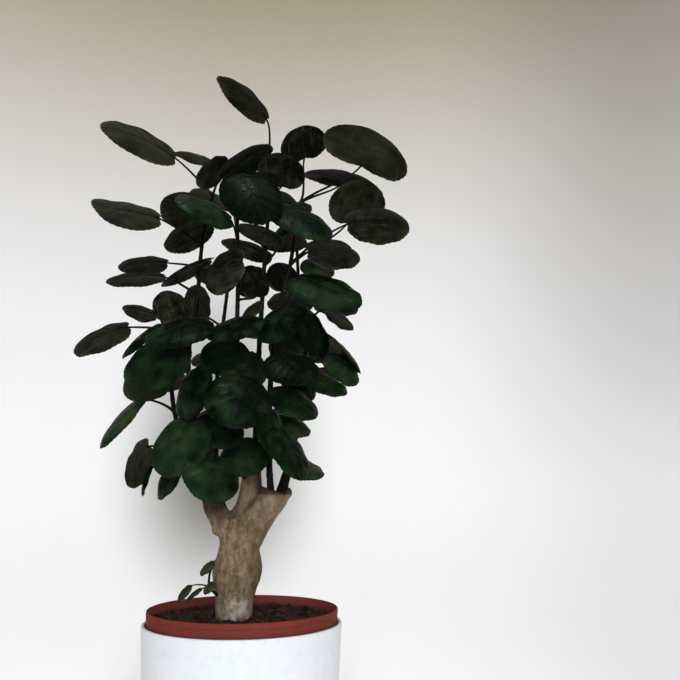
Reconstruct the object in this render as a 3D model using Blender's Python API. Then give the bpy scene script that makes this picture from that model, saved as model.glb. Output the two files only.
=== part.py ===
"""Potted polyscias: a pruned trunk with leafy shoots, in a plastic pot that stands in a ceramic cover pot.

Sizes are in millimetres and become metres as each mesh is made. The origin is the middle of the cover
pot's underside, +Z is up and -Y is the side that the plant is looked at from.
"""

from math import cos, pi, radians, sin
from typing import NamedTuple

import bmesh
import bpy
from mathutils import Vector

MM = 0.001
GAP = 0.4

COVER_RIM_RADIUS = 99.0
COVER_HEIGHT = 162.5
COVER_TAPER = 8.5
COVER_WALL = 3.6
COVER_FLOOR = 7.0

POT_COLLAR_RADIUS = 94.5
POT_HEIGHT = 168.0
POT_WALL = 1.7
POT_FLOOR = 2.2
POT_BODY_RADIUS = 90.5
POT_FOOT_RADIUS = 70.0
POT_COLLAR_DEPTH = 21.0
POT_COLLAR_FLARE = 0.6
POT_BAND = 5.5
POT_GROOVE = 0.5
POT_EDGE = 0.8
POT_SIDES = 40
DRAIN_RADIUS = 5.0
DRAIN_CIRCLE_RADIUS = 42.0
DRAIN_COUNT = 4
DRAIN_SIDES = 8

SOIL_DROP = 11.0
SOIL_SIDES = 24
SOIL_RINGS = 6
SOIL_RELIEF = 1.3
SOIL_HUMP_X = 30.0
SOIL_HUMP_Y = 37.0
SOIL_CRUMB_X = 14.6
SOIL_CRUMB_Y = 20.3

TRUNK_SIDES = 18
TRUNK_LOBES = 3
TRUNK_LOBE_DEPTH = 0.035
TRUNK_TWIST = 0.05
TRUNK_FOOT_Z = 118.0
TRUNK_HOLE_RISE = 30.0
TRUNK_VOXEL = 3.0
TRUNK_SMOOTHING = 3
TRUNK_KEPT_SHARE = 0.085
STUB_SIDES = 14
SOCKET_REACH = 25.0
SOCKET_CLEARANCE = 0.4

SHOOT_SIDES = 6
SHOOT_STEP = 28.0
STALK_SIDES = 3
STALK_STEPS = 3
STALK_FOOT_RADIUS = 1.5
STALK_TOP_RADIUS = 0.85
STALK_RISE = 0.55
STALK_LEAN = 0.9
STALK_PULL = 0.3
STALK_INTO_BLADE = 0.06
STALK_SINK = 0.35
FULL_SHOOT_TOP = 1.6
BLADE_THICKNESS = 1.0
BLADE_POINTS = 16
MIDRIB_SHARES = (0.75, 0.5, 0.25)
MIDRIB_OF_EDGE = (0, 0, 1, 1, 1, 2, 2, 2)
BLADE_CAMBER = 0.07
BLADE_CUP = 0.10
BLADE_NOTCH = 0.10
BLADE_RIPPLE = 0.012
RIPPLE_WAVES = 2.5
CURL_START = 0.5
WAVE_STEP = 2.4
SCALLOP = 0.03

CORNER = 1 - cos(pi / 4)
POT_BASE_Z = COVER_FLOOR + 0.3
POT_RIM_Z = POT_BASE_Z + POT_HEIGHT
SOIL_Z = POT_RIM_Z - SOIL_DROP

# Each row is a height, the middle's x and y, and the half width and half depth of the trunk there.
TRUNK_SECTIONS = (
    (TRUNK_FOOT_Z, -9.0, -3.0, 13.0, 12.5),
    (140.0, -9.0, -3.0, 16.5, 15.5),
    (160.0, -9.0, -3.0, 17.5, 16.5),
    (173.0, -9.3, -2.5, 18.5, 17.0),
    (183.0, -9.0, -2.0, 19.3, 17.5),
    (192.0, -8.4, -1.0, 21.3, 19.0),
    (202.0, -7.4, 0.0, 23.8, 21.0),
    (211.5, -6.7, 0.0, 24.8, 21.5),
    (221.0, -6.2, 0.0, 23.6, 20.5),
    (231.0, -5.9, 0.0, 21.0, 19.0),
    (238.0, -5.2, 0.0, 20.0, 18.5),
    (245.0, -5.0, 0.0, 21.5, 19.0),
    (254.0, -6.0, 0.0, 25.0, 20.0),
    (262.0, -7.0, 1.0, 24.0, 18.5),
    (267.0, -6.0, 1.0, 17.0, 12.0),
)


class Stub(NamedTuple):
    """A cut branch of the trunk: points along its middle, and the radius at each."""

    points: tuple
    radii: tuple


STUBS = (
    Stub(((-11, 1, 246), (-24, 1, 260), (-33, 1, 272), (-35.5, 2, 280), (-36, 2, 287)),
         (14.0, 12.5, 10.5, 10.5, 11.5)),
    Stub(((1, 0, 243), (10, 0, 260), (20.5, 0, 275), (28.5, 0, 284), (30.5, 0, 290)),
         (17.5, 17.0, 16.0, 15.5, 15.0)),
    Stub(((-3, 2, 256), (2, 4, 276), (5, 4, 300), (5, 4, 320)), (17.0, 13.0, 10.5, 9.0)),
)

# Lumps on the bark: middle and radii.
KNOBS = (
    ((-28.5, -3, 252), (5.5, 8, 6.5)),
    ((10, -12, 262), (12, 8, 14)),
    ((44, -2, 288), (4, 5, 6)),
)


class Leaf(NamedTuple):
    """A blade: where its stalk meets it, its tip, its width, and its roll about its midrib in degrees.

    At roll 0 the blade's width is level. At point 0 its tip is round, and it is narrower the larger
    point is. Curl lifts the tip by that share of the blade's length.
    """

    base: tuple
    tip: tuple
    width: float
    roll: float
    point: float = 0.0
    curl: float = 0.0


class Shoot(NamedTuple):
    """A leafy stem: points along it from its foot in the trunk, its radii at foot and top, its leaves."""

    points: tuple
    foot_radius: float
    top_radius: float
    leaves: tuple


SHOOTS = {
    "leafy_stem_left_tall": Shoot(
        ((-31, 4, 280), (-48, 5, 330), (-64, 8, 390), (-67, 8, 445), (-60, 6, 500), (-57, 4, 557),
         (-53, 12, 595), (-50, 20, 625)),
        3.2, 1.8,
        (
            Leaf((-89, 10, 663), (-172, -15, 693), 60, 5),
            Leaf((-50, 45, 674), (-99, 28, 682), 48, -15),
            Leaf((-50, 5, 591), (-100, -15, 601), 63, 20),
            Leaf((-44, 15, 588), (-97, -5, 555), 57, 20),
            Leaf((-40, 43, 615), (-79, 28, 631), 54, 10),
            Leaf((-102, 5, 589), (-177, -15, 592), 66, 5, 0, 0.13),
            Leaf((-96, 20, 543), (-149, 5, 534), 54, 5),
            Leaf((-93, 0, 521), (-155, -15, 511), 52, 0),
            Leaf((-40, -10, 538), (-93, -25, 504), 52, 0),
            Leaf((-57, 10, 470), (-57, -5, 510), 50, -45),
            Leaf((-105, 20, 480), (-141, 5, 488), 46, 5),
        ),
    ),
    "leafy_stem_left_low": Shoot(
        ((-37, -3, 280), (-58, -12, 320), (-74, -18, 370), (-80, -22, 420), (-80, -24, 450)),
        3.0, 1.8,
        (
            Leaf((-75, -10, 465), (-85, -35, 495), 46, 0),
            Leaf((-119, -35, 458), (-171, -50, 427), 52, 15),
            Leaf((-90, -30, 462), (-125, -40, 423), 46, -15),
            Leaf((-30, -75, 455), (-85, -100, 425), 64, -30),
            Leaf((-69, -60, 441), (-96, -85, 383), 71, -25),
            Leaf((-87, -30, 422), (-111, -45, 379), 60, -35),
            Leaf((-104, -30, 386), (-136, -55, 331), 50, 2),
            Leaf((-45, -65, 410), (-45, -85, 355), 52, 40),
            Leaf((-48, -75, 360), (-58, -95, 302), 61, -5),
            Leaf((-96, -25, 338), (-112, -45, 296), 54, 60),
            Leaf((-66, -50, 323), (-74, -60, 282), 57, 20),
            Leaf((-95, -20, 315), (-100, -30, 285), 28, 45),
            Leaf((-25, -80, 325), (-15, -110, 280), 54, -10),
        ),
    ),
    "leafy_stem_middle_tall": Shoot(
        ((7, 4, 312), (8, 4, 345), (9, 5, 428), (12, 4, 505), (14, 6, 560), (18, 10, 620), (22, 12, 655)),
        3.4, 1.6,
        (
            Leaf((13, 15, 714), (-43, -15, 754), 46, 0, 0.35),
            Leaf((32, 10, 628), (32, -30, 653), 54, -10),
            Leaf((35, -20, 554), (-11, -40, 566), 52, -5),
            Leaf((20, 40, 555), (-38, 25, 571), 54, 0),
            Leaf((47, -40, 480), (26, -62, 434), 54, -15),
            Leaf((19, 50, 645), (22, 105, 635), 52, 10),
        ),
    ),
    "leafy_stem_middle_front": Shoot(
        ((0, 0, 300), (-12, -14, 350), (-13, -14, 420), (-13, -12, 490), (-15, -10, 550), (-18, -4, 610)),
        3.0, 1.8,
        (
            Leaf((-31, 0, 651), (-61, -25, 626), 44, 35),
            Leaf((-40, 5, 636), (20, -22, 666), 50, 5),
            Leaf((-15, -25, 635), (20, -60, 560), 64, 35),
            Leaf((-15, -40, 570), (-70, -75, 580), 54, -50),
            Leaf((0, -60, 520), (-35, -85, 490), 52, 45),
            Leaf((15, -45, 465), (-30, -75, 435), 52, -25),
            Leaf((15, -20, 485), (-5, -30, 470), 32, 20),
            Leaf((8, -14, 492), (2, -34, 516), 36, 0),
            Leaf((-15, -5, 450), (-35, -20, 410), 56, -45),
            Leaf((5, -80, 400), (0, -120, 345), 62, -20),
            Leaf((-29, -45, 368), (-12, -62, 330), 51, 15),
            Leaf((12, -15, 342), (-15, -32, 307), 55, -35),
        ),
    ),
    "leafy_stem_right_tall": Shoot(
        ((26, -3, 283), (23, -4, 330), (23, -2, 400), (26, -2, 450), (34, -2, 500), (42, 2, 535),
         (46, 8, 575), (48, 16, 610)),
        3.4, 1.8,
        (
            Leaf((57, 20, 668), (53, -20, 690), 54, 20),
            Leaf((120, -10, 643), (132, -70, 659), 98, -25),
            Leaf((95, 5, 627), (110, -55, 618), 88, -11),
            Leaf((106, -10, 576), (124, -50, 612), 62, -5),
            Leaf((102, -25, 573), (170, -40, 565), 68, -15),
            Leaf((25, -20, 598), (83, -56, 543), 56, 30),
            Leaf((35, 0, 595), (65, -10, 600), 32, -5),
            Leaf((59, -15, 545), (118, -25, 535), 56, -15),
            Leaf((50, -50, 507), (115, -75, 467), 68, 35),
            Leaf((35, -60, 425), (65, -85, 390), 58, 25),
            Leaf((40, -40, 395), (65, -62, 358), 58, 5),
            Leaf((31, -25, 367), (61, -42, 343), 52, 15),
            Leaf((38, -75, 350), (61, -100, 300), 46, -5),
            Leaf((30, -50, 370), (35, -70, 320), 52, -45),
            Leaf((39, 28, 512), (27, 10, 540), 44, 0),
            Leaf((44, 38, 606), (26, 22, 574), 44, 0),
        ),
    ),
    "leafy_stem_right_low": Shoot(
        ((38, 1, 285), (48, 4, 330), (54, 6, 390), (60, 6, 440), (62, 6, 470)),
        2.8, 1.8,
        (
            Leaf((56, -17, 485), (73, -40, 425), 60, -10),
            Leaf((77, 22, 491), (112, 10, 467), 47, -15),
            Leaf((79, 0, 457), (119, -15, 413), 44, -16),
            Leaf((89, 5, 438), (109, -15, 398), 44, 5),
            Leaf((70, -20, 410), (100, -35, 385), 44, 20),
            Leaf((49, -15, 323), (75, -30, 302), 53, 10),
            Leaf((45, 0, 435), (60, -15, 380), 58, -5),
        ),
    ),
    "leafy_stem_back_left": Shoot(
        ((-23, 13, 266), (-34, 27, 300), (-40, 38, 350), (-42, 47, 420), (-37, 56, 500), (-32, 62, 560)),
        3.0, 1.8,
        (
            Leaf((-62, 70, 350), (-88, 110, 325), 56, 0),
            Leaf((-45, 80, 385), (-50, 135, 365), 60, 0),
            Leaf((-80, 50, 420), (-125, 75, 405), 56, 0),
            Leaf((-50, 85, 455), (-60, 140, 440), 60, 0),
            Leaf((-75, 75, 500), (-110, 120, 490), 58, 0),
            Leaf((-22, 85, 497), (-12, 140, 482), 56, 0),
            Leaf((-48, 78, 560), (-62, 118, 545), 54, 0),
            Leaf((-30, 62, 630), (-45, 105, 640), 52, 0),
            Leaf((-8, 36, 446), (0, 22, 402), 46, 0),
            Leaf((-4, 64, 554), (0, 58, 520), 40, 0),
        ),
    ),
    "leafy_stem_back_right": Shoot(
        ((32, 6, 284), (46, 26, 340), (54, 45, 420), (50, 52, 500), (46, 55, 570)),
        3.0, 1.8,
        (
            Leaf((27, 60, 350), (23, 105, 335), 54, 0),
            Leaf((43, 80, 390), (37, 130, 375), 58, 0),
            Leaf((75, 60, 430), (90, 100, 420), 50, 0),
            Leaf((62, 85, 470), (66, 140, 450), 58, 0),
            Leaf((80, 70, 520), (105, 115, 505), 56, 0),
            Leaf((40, 90, 530), (30, 145, 515), 58, 0),
            Leaf((70, 60, 585), (100, 100, 580), 54, 0),
            Leaf((30, 85, 605), (20, 135, 595), 60, 0),
            Leaf((36, 38, 468), (38, 26, 428), 40, 0),
            Leaf((70, 28, 552), (74, 14, 522), 40, 0),
        ),
    ),
    "basal_sprout": Shoot(
        ((-20, -9, 185), (-31, -17, 196), (-32, -19, 208), (-29, -19, 218)),
        1.5, 0.9,
        (
            Leaf((-28, -19, 222), (-41, -21, 209), 13, -30),
            Leaf((-27, -22, 203), (-36, -25, 192), 14, -20),
            Leaf((-50, -18, 200), (-63, -16, 182), 9, 40, 0.3),
            Leaf((-39, -20, 197), (-53, -26, 184), 11, 0, 0.2),
        ),
    ),
}


def clear_scene():
    for obj in list(bpy.data.objects):
        bpy.data.objects.remove(obj, do_unlink=True)


def material(name, colour, roughness, metallic=0.0):
    made = bpy.data.materials.new(name)
    made.use_nodes = True
    shader = made.node_tree.nodes["Principled BSDF"]
    shader.inputs["Base Color"].default_value = (*colour, 1.0)
    shader.inputs["Roughness"].default_value = roughness
    shader.inputs["Metallic"].default_value = metallic
    return made


def new_object(name, points, faces, finish=None):
    """An object whose mesh has these points, given in millimetres."""
    mesh = bpy.data.meshes.new(name)
    mesh.from_pydata([tuple(c * MM for c in p) for p in points], [], faces)
    mesh.validate()
    obj = bpy.data.objects.new(name, mesh)
    bpy.context.scene.collection.objects.link(obj)
    if finish is not None:
        mesh.materials.append(finish)
    return obj


def face_outwards(obj):
    shape = bmesh.new()
    shape.from_mesh(obj.data)
    bmesh.ops.recalc_face_normals(shape, faces=shape.faces)
    if shape.calc_volume(signed=True) < 0:
        bmesh.ops.reverse_faces(shape, faces=shape.faces)
    shape.to_mesh(obj.data)
    shape.free()


def smooth(obj, angle=35):
    obj.data.shade_smooth()
    obj.data.set_sharp_from_angle(angle=radians(angle))


def turned(name, profile, sides, finish=None):
    """A closed solid turned about Z from (radius, height) points; a radius of 0 is on the axis."""
    points, rings = [], []
    for radius, height in profile:
        if radius == 0:
            rings.append([len(points)] * sides)
            points.append((0.0, 0.0, height))
            continue
        rings.append(list(range(len(points), len(points) + sides)))
        points += [(radius * cos(2 * pi * k / sides), radius * sin(2 * pi * k / sides), height)
                   for k in range(sides)]
    faces = []
    for low, high in zip(rings, rings[1:]):
        for k in range(sides):
            corners = [low[k], low[(k + 1) % sides], high[(k + 1) % sides], high[k]]
            faces.append(list(dict.fromkeys(corners)))
    obj = new_object(name, points, faces, finish)
    face_outwards(obj)
    return obj


def skin(name, rings, finish=None):
    """A closed solid through rings of as many points each, with a fan at each end."""
    sides = len(rings[0])
    points = [p for ring in rings for p in ring]
    faces = []
    for r in range(len(rings) - 1):
        low, high = r * sides, (r + 1) * sides
        for k in range(sides):
            n = (k + 1) % sides
            faces.append([low + k, low + n, high + n, high + k])
    faces.append(list(range(sides))[::-1])
    faces.append(list(range(len(points) - sides, len(points))))
    obj = new_object(name, points, faces, finish)
    face_outwards(obj)
    return obj


def smooth_route(points, step):
    """Points about this far apart along the smooth curve through the given ones."""
    knots = [Vector(p) for p in points]
    knots = [2 * knots[0] - knots[1], *knots, 2 * knots[-1] - knots[-2]]
    route = [knots[1]]
    for before, a, b, after in zip(knots, knots[1:], knots[2:], knots[3:]):
        count = max(1, round((b - a).length / step))
        for k in range(1, count + 1):
            t = k / count
            route.append(0.5 * (2 * a + (b - before) * t + (2 * before - 5 * a + 4 * b - after) * t ** 2
                                + (3 * a - before - 3 * b + after) * t ** 3))
    return route


def tube(name, route, radii, sides, finish=None):
    """A closed tube whose ring at each point lies square to the route."""
    ahead = [(b - a).normalized() for a, b in zip(route, route[1:])]
    facing = [ahead[0]] + [(a + b).normalized() for a, b in zip(ahead, ahead[1:])] + [ahead[-1]]
    side = facing[0].orthogonal().normalized()
    rings = []
    for middle, axis, radius in zip(route, facing, radii):
        side = (side - axis * side.dot(axis)).normalized()
        other = axis.cross(side)
        rings.append([middle + radius * (cos(2 * pi * k / sides) * side + sin(2 * pi * k / sides) * other)
                      for k in range(sides)])
    return skin(name, rings, finish)


def ellipsoid(name, middle, radii, finish=None):
    shape = bmesh.new()
    bmesh.ops.create_icosphere(shape, subdivisions=2, radius=1.0)
    points = [tuple(m + r * c for m, r, c in zip(middle, radii, v.co)) for v in shape.verts]
    faces = [[v.index for v in f.verts] for f in shape.faces]
    shape.free()
    return new_object(name, points, faces, finish)


def apply_modifiers(obj):
    graph = bpy.context.evaluated_depsgraph_get()
    mesh = bpy.data.meshes.new_from_object(obj.evaluated_get(graph), depsgraph=graph)
    obj.modifiers.clear()
    obj.data = mesh


def join_shapes(obj, others, solver="EXACT", operation="UNION"):
    """One Boolean of the object with the others, which are then removed."""
    group = bpy.data.collections.new(obj.name + "_shapes")
    bpy.context.scene.collection.children.link(group)
    for other in others:
        bpy.context.scene.collection.objects.unlink(other)
        group.objects.link(other)
    joined = obj.modifiers.new("join", "BOOLEAN")
    joined.operand_type = "COLLECTION"
    joined.collection = group
    joined.operation = operation
    joined.solver = solver
    apply_modifiers(obj)
    for other in others:
        bpy.data.objects.remove(other, do_unlink=True)
    bpy.data.collections.remove(group)


def cover_radius(height):
    """The cover pot's outer radius at this height."""
    return COVER_RIM_RADIUS - COVER_TAPER * (1 - height / COVER_HEIGHT)


def make_cover_pot(finish):
    lip = COVER_WALL / 2
    foot = 4.0
    cove = 6.0
    base_radius = cover_radius(0)
    floor_radius = cover_radius(COVER_FLOOR) - COVER_WALL
    profile = [
        (0, 0),
        (base_radius - foot, 0),
        (base_radius - CORNER * foot, CORNER * foot),
        (cover_radius(foot), foot),
        (cover_radius(COVER_HEIGHT / 2), COVER_HEIGHT / 2),
        (cover_radius(COVER_HEIGHT - lip), COVER_HEIGHT - lip),
        (COVER_RIM_RADIUS - CORNER * lip, COVER_HEIGHT - CORNER * lip),
        (COVER_RIM_RADIUS - lip, COVER_HEIGHT),
        (COVER_RIM_RADIUS - COVER_WALL + CORNER * lip, COVER_HEIGHT - CORNER * lip),
        (COVER_RIM_RADIUS - COVER_WALL, COVER_HEIGHT - lip),
        (cover_radius(COVER_HEIGHT / 2) - COVER_WALL, COVER_HEIGHT / 2),
        (cover_radius(COVER_FLOOR + cove) - COVER_WALL, COVER_FLOOR + cove),
        (floor_radius - CORNER * cove, COVER_FLOOR + CORNER * cove),
        (floor_radius - cove, COVER_FLOOR),
        (0, COVER_FLOOR),
    ]
    pot = turned("cover_pot", profile, POT_SIDES, finish)
    smooth(pot)


def pot_outer(height):
    """The nursery pot's outer body radius at this height above its foot, under its collar."""
    share = height / (POT_HEIGHT - POT_COLLAR_DEPTH)
    return POT_FOOT_RADIUS + (POT_BODY_RADIUS - POT_FOOT_RADIUS) * share


def pot_inner_profile():
    """(radius, height) points up the inside of the nursery pot's wall, from its floor to its lip."""
    shoulder = POT_HEIGHT - POT_COLLAR_DEPTH
    return [
        (pot_outer(POT_FLOOR) - POT_WALL, POT_FLOOR),
        (POT_BODY_RADIUS - POT_WALL, shoulder),
        (POT_COLLAR_RADIUS - POT_WALL - POT_COLLAR_FLARE, shoulder + 2 * POT_WALL),
        (POT_COLLAR_RADIUS - POT_WALL, POT_HEIGHT - POT_EDGE),
    ]


def make_nursery_pot(finish):
    shoulder = POT_HEIGHT - POT_COLLAR_DEPTH
    band_z = POT_HEIGHT - POT_BAND
    profile = [
        (0, 0),
        (POT_FOOT_RADIUS - POT_EDGE, 0),
        (POT_FOOT_RADIUS, POT_EDGE),
        (POT_BODY_RADIUS, shoulder),
        (POT_COLLAR_RADIUS - POT_COLLAR_FLARE, shoulder + POT_EDGE),
        (POT_COLLAR_RADIUS, band_z - POT_GROOVE),
        (POT_COLLAR_RADIUS - POT_GROOVE, band_z),
        (POT_COLLAR_RADIUS + POT_GROOVE / 2, band_z + POT_GROOVE),
        (POT_COLLAR_RADIUS + POT_GROOVE / 2, POT_HEIGHT - POT_EDGE),
        (POT_COLLAR_RADIUS + POT_GROOVE / 2 - POT_EDGE, POT_HEIGHT),
        (POT_COLLAR_RADIUS - POT_WALL + POT_EDGE / 2, POT_HEIGHT),
        *pot_inner_profile()[::-1],
        (0, POT_FLOOR),
    ]
    pot = turned("nursery_pot", [(r, z + POT_BASE_Z) for r, z in profile], POT_SIDES, finish)
    for k in range(DRAIN_COUNT):
        angle = 2 * pi * (k + 0.5) / DRAIN_COUNT
        x, y = DRAIN_CIRCLE_RADIUS * cos(angle), DRAIN_CIRCLE_RADIUS * sin(angle)
        route = [Vector((x, y, POT_BASE_Z - POT_FLOOR)), Vector((x, y, POT_BASE_Z + 2 * POT_FLOOR))]
        cutter = tube(f"drain_cutter_{k}", route, (DRAIN_RADIUS, DRAIN_RADIUS), DRAIN_SIDES)
        cutter.hide_render = True
        cutter.display_type = "WIRE"
        cut = pot.modifiers.new(f"drain_{k}", "BOOLEAN")
        cut.operation = "DIFFERENCE"
        cut.object = cutter
    smooth(pot)


def soil_height(x, y):
    """The crumbly relief of the soil's surface."""
    humps = sin(2 * pi * x / SOIL_HUMP_X) * cos(2 * pi * y / SOIL_HUMP_Y)
    crumbs = sin(2 * pi * (x / SOIL_CRUMB_X - y / SOIL_CRUMB_Y))
    return SOIL_Z + SOIL_RELIEF * (humps + 0.6 * crumbs)


def level_ring(radius, height_at, sides):
    """Points on a circle about Z, each at the height that height_at gives for its x and y."""
    ring = []
    for k in range(sides):
        x, y = radius * cos(2 * pi * k / sides), radius * sin(2 * pi * k / sides)
        ring.append((x, y, height_at(x, y)))
    return ring


def make_soil(finish):
    (floor_radius, floor), (shoulder_radius, shoulder), (rim_radius, _), _ = pot_inner_profile()
    rings = [
        level_ring(floor_radius - GAP, lambda x, y: POT_BASE_Z + floor + GAP, SOIL_SIDES),
        level_ring(shoulder_radius - GAP, lambda x, y: POT_BASE_Z + shoulder - GAP, SOIL_SIDES),
    ]
    for step in range(SOIL_RINGS, 0, -1):
        rings.append(level_ring((rim_radius - GAP) * step / SOIL_RINGS, soil_height, SOIL_SIDES))
    soil = skin("soil", rings, finish)
    clear = SOIL_Z + TRUNK_HOLE_RISE
    foot = [(z, x, y, a + GAP, b + GAP) for z, x, y, a, b in TRUNK_SECTIONS if z < clear]
    foot[0] = (foot[0][0] - GAP, *foot[0][1:])
    hole = skin("trunk_hole_cutter", [section_ring(*row) for row in foot])
    join_shapes(soil, [hole], operation="DIFFERENCE")
    smooth(soil, 60)


def section_ring(z, x, y, half_width, half_depth):
    """One section of the trunk, a little lobed, turning slowly with height."""
    ring = []
    for k in range(TRUNK_SIDES):
        angle = 2 * pi * k / TRUNK_SIDES
        lobe = 1 + TRUNK_LOBE_DEPTH * sin(TRUNK_LOBES * angle + TRUNK_TWIST * z) * sin(angle) ** 2
        ring.append(Vector((x + lobe * half_width * cos(angle), y + lobe * half_depth * sin(angle), z)))
    return ring


def shoot_foot(shoot):
    """The foot of a shoot and the direction it starts in."""
    route = smooth_route(shoot.points, SHOOT_STEP)
    return route[0], (route[1] - route[0]).normalized()


def grow_together(obj):
    """Rounds the seams between fused shapes, as living wood does, and keeps few faces."""
    remesh = obj.modifiers.new("one_surface", "REMESH")
    remesh.mode = "VOXEL"
    remesh.voxel_size = TRUNK_VOXEL * MM
    rounding = obj.modifiers.new("rounding", "SMOOTH")
    rounding.iterations = TRUNK_SMOOTHING
    fewer = obj.modifiers.new("fewer_faces", "DECIMATE")
    fewer.ratio = TRUNK_KEPT_SHARE
    apply_modifiers(obj)


def make_trunk(finish):
    trunk = skin("trunk", [section_ring(*row) for row in TRUNK_SECTIONS], finish)
    shapes = []
    for number, stub in enumerate(STUBS):
        route = [Vector(p) for p in stub.points]
        shapes.append(tube(f"stub_{number}", route, stub.radii, STUB_SIDES))
    for number, (middle, radii) in enumerate(KNOBS):
        shapes.append(ellipsoid(f"knob_{number}", middle, radii))
    join_shapes(trunk, shapes)
    grow_together(trunk)
    sockets = []
    for name, shoot in SHOOTS.items():
        foot, ahead = shoot_foot(shoot)
        route = [foot - GAP * ahead, foot + SOCKET_REACH * ahead]
        radius = shoot.foot_radius + SOCKET_CLEARANCE
        sockets.append(tube(name + "_socket", route, (radius, radius), SHOOT_SIDES))
    join_shapes(trunk, sockets, operation="DIFFERENCE")
    smooth(trunk, 50)


def blade_axes(leaf):
    """The blade's direction from stalk to tip, its sideways direction and its upward normal."""
    along = (Vector(leaf.tip) - Vector(leaf.base)).normalized()
    level = Vector((-along.y, along.x, 0)).normalized()
    upright = along.cross(level)
    turn = radians(leaf.roll)
    return along, level * cos(turn) + upright * sin(turn), upright * cos(turn) - level * sin(turn)


def blade_length(leaf):
    return (Vector(leaf.tip) - Vector(leaf.base)).length


def blade_lift(leaf, share, side, wave):
    """How far the blade's middle surface stands off the straight line of its midrib."""
    arch = 4 * BLADE_CAMBER * blade_length(leaf) * share * (1 - share)
    ripple = BLADE_RIPPLE * leaf.width * side * side * sin(2 * pi * RIPPLE_WAVES * share + wave)
    past = max(0.0, (share - CURL_START) / (1 - CURL_START))
    curl = leaf.curl * blade_length(leaf) * past * past
    return arch - BLADE_CUP * leaf.width * side * side + ripple + curl


def blade_outline(leaf):
    """(share of the length, side from -1 to 1) round the blade, starting at the tip."""
    outline = []
    for k in range(BLADE_POINTS):
        angle = 2 * pi * k / BLADE_POINTS
        scale = 1 + SCALLOP * (-1) ** k
        share = 0.5 + 0.5 * scale * cos(angle)
        if 2 * k == BLADE_POINTS:
            share += BLADE_NOTCH
        narrowing = 1 - leaf.point * min(1.0, max(0.0, 2 * share - 1)) ** 2
        outline.append((share, narrowing * scale * sin(angle)))
    return outline


def blade_triangles():
    """The triangles of one face: each edge of the outline fans to its own point of the midrib."""
    last = BLADE_POINTS // 2
    triangles = []
    for side in (1, -1):
        for k in range(last):
            rib = BLADE_POINTS + MIDRIB_OF_EDGE[k]
            outer, following = side * k % BLADE_POINTS, side * (k + 1) % BLADE_POINTS
            triangles.append((outer, following, rib)[::side])
            if k + 1 < last and MIDRIB_OF_EDGE[k + 1] != MIDRIB_OF_EDGE[k]:
                triangles.append((following, rib + 1, rib)[::side])
    return triangles


def make_blade(name, leaf, wave):
    """A thin closed blade: a scalloped outline round a midrib, split alike on both faces."""
    along, sideways, upward = blade_axes(leaf)
    length = blade_length(leaf)
    sheet = blade_outline(leaf) + [(share, 0.0) for share in MIDRIB_SHARES]
    middles = []
    for share, side in sheet:
        lift = blade_lift(leaf, share, side, wave)
        middles.append(Vector(leaf.base) + share * length * along + side * leaf.width / 2 * sideways
                       + lift * upward)
    triangles = blade_triangles()
    total = len(sheet)
    points = [m + upward * BLADE_THICKNESS / 2 for m in middles]
    points += [m - upward * BLADE_THICKNESS / 2 for m in middles]
    faces = [list(t) for t in triangles] + [[i + total for i in reversed(t)] for t in triangles]
    for k in range(BLADE_POINTS):
        n = (k + 1) % BLADE_POINTS
        faces += [[k, k + total, n + total], [k, n + total, n]]
    obj = new_object(name, points, faces)
    face_outwards(obj)
    return obj


def stalk_route(leaf, shoot_route):
    """The leaf stalk's curve, from the shoot's middle into the blade."""
    along, _, upward = blade_axes(leaf)
    base = Vector(leaf.base)
    into = BLADE_NOTCH + STALK_INTO_BLADE
    lift = blade_lift(leaf, into, 0, 0) - STALK_SINK
    end = base + into * blade_length(leaf) * along + lift * upward

    def miss(point):
        reach = Vector((base.x - point.x, base.y - point.y)).length
        return abs(base.z - STALK_RISE * reach - point.z)

    start = min(shoot_route[1:], key=miss)
    away = Vector((base.x - start.x, base.y - start.y, 0))
    leaving = Vector((0, 0, 1))
    if away.length > 1:
        leaving = (away.normalized() + Vector((0, 0, STALK_LEAN))).normalized()
    arriving = (0.6 * along + 0.4 * leaving).normalized()
    pull = STALK_PULL * (end - start).length
    a, b = start + pull * leaving, end - pull * arriving
    route = []
    for k in range(STALK_STEPS + 1):
        t = k / STALK_STEPS
        u = 1 - t
        route.append(u ** 3 * start + 3 * u * u * t * a + 3 * u * t * t * b + t ** 3 * end)
    return route


def taper(first, last, count):
    return [first + (last - first) * k / (count - 1) for k in range(count)]


def make_shoot(name, shoot, finish):
    """The stem with its stalks and blades, fused into one solid."""
    route = smooth_route(shoot.points, SHOOT_STEP)
    radii = taper(shoot.foot_radius, shoot.top_radius, len(route))
    stem = tube(name, route, radii, SHOOT_SIDES, finish)
    shapes = []
    for number, leaf in enumerate(shoot.leaves):
        stalk = stalk_route(leaf, route)
        size = min(1.0, shoot.top_radius / FULL_SHOOT_TOP)
        thickness = taper(STALK_FOOT_RADIUS * size, STALK_TOP_RADIUS * size, len(stalk))
        shapes.append(tube(f"{name}_stalk_{number}", stalk, thickness, STALK_SIDES))
        shapes.append(make_blade(f"{name}_blade_{number}", leaf, WAVE_STEP * number))
    join_shapes(stem, shapes, solver="MANIFOLD")
    smooth(stem, 40)


def main():
    clear_scene()
    make_cover_pot(material("white_ceramic", (0.80, 0.80, 0.80), 0.55))
    make_nursery_pot(material("terracotta_plastic", (0.25, 0.06, 0.035), 0.40))
    make_soil(material("dark_soil", (0.030, 0.020, 0.016), 0.95))
    make_trunk(material("bark", (0.32, 0.25, 0.19), 0.80))
    foliage = material("foliage", (0.015, 0.045, 0.018), 0.40)
    for name, shoot in SHOOTS.items():
        make_shoot(name, shoot, foliage)


main()
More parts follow.
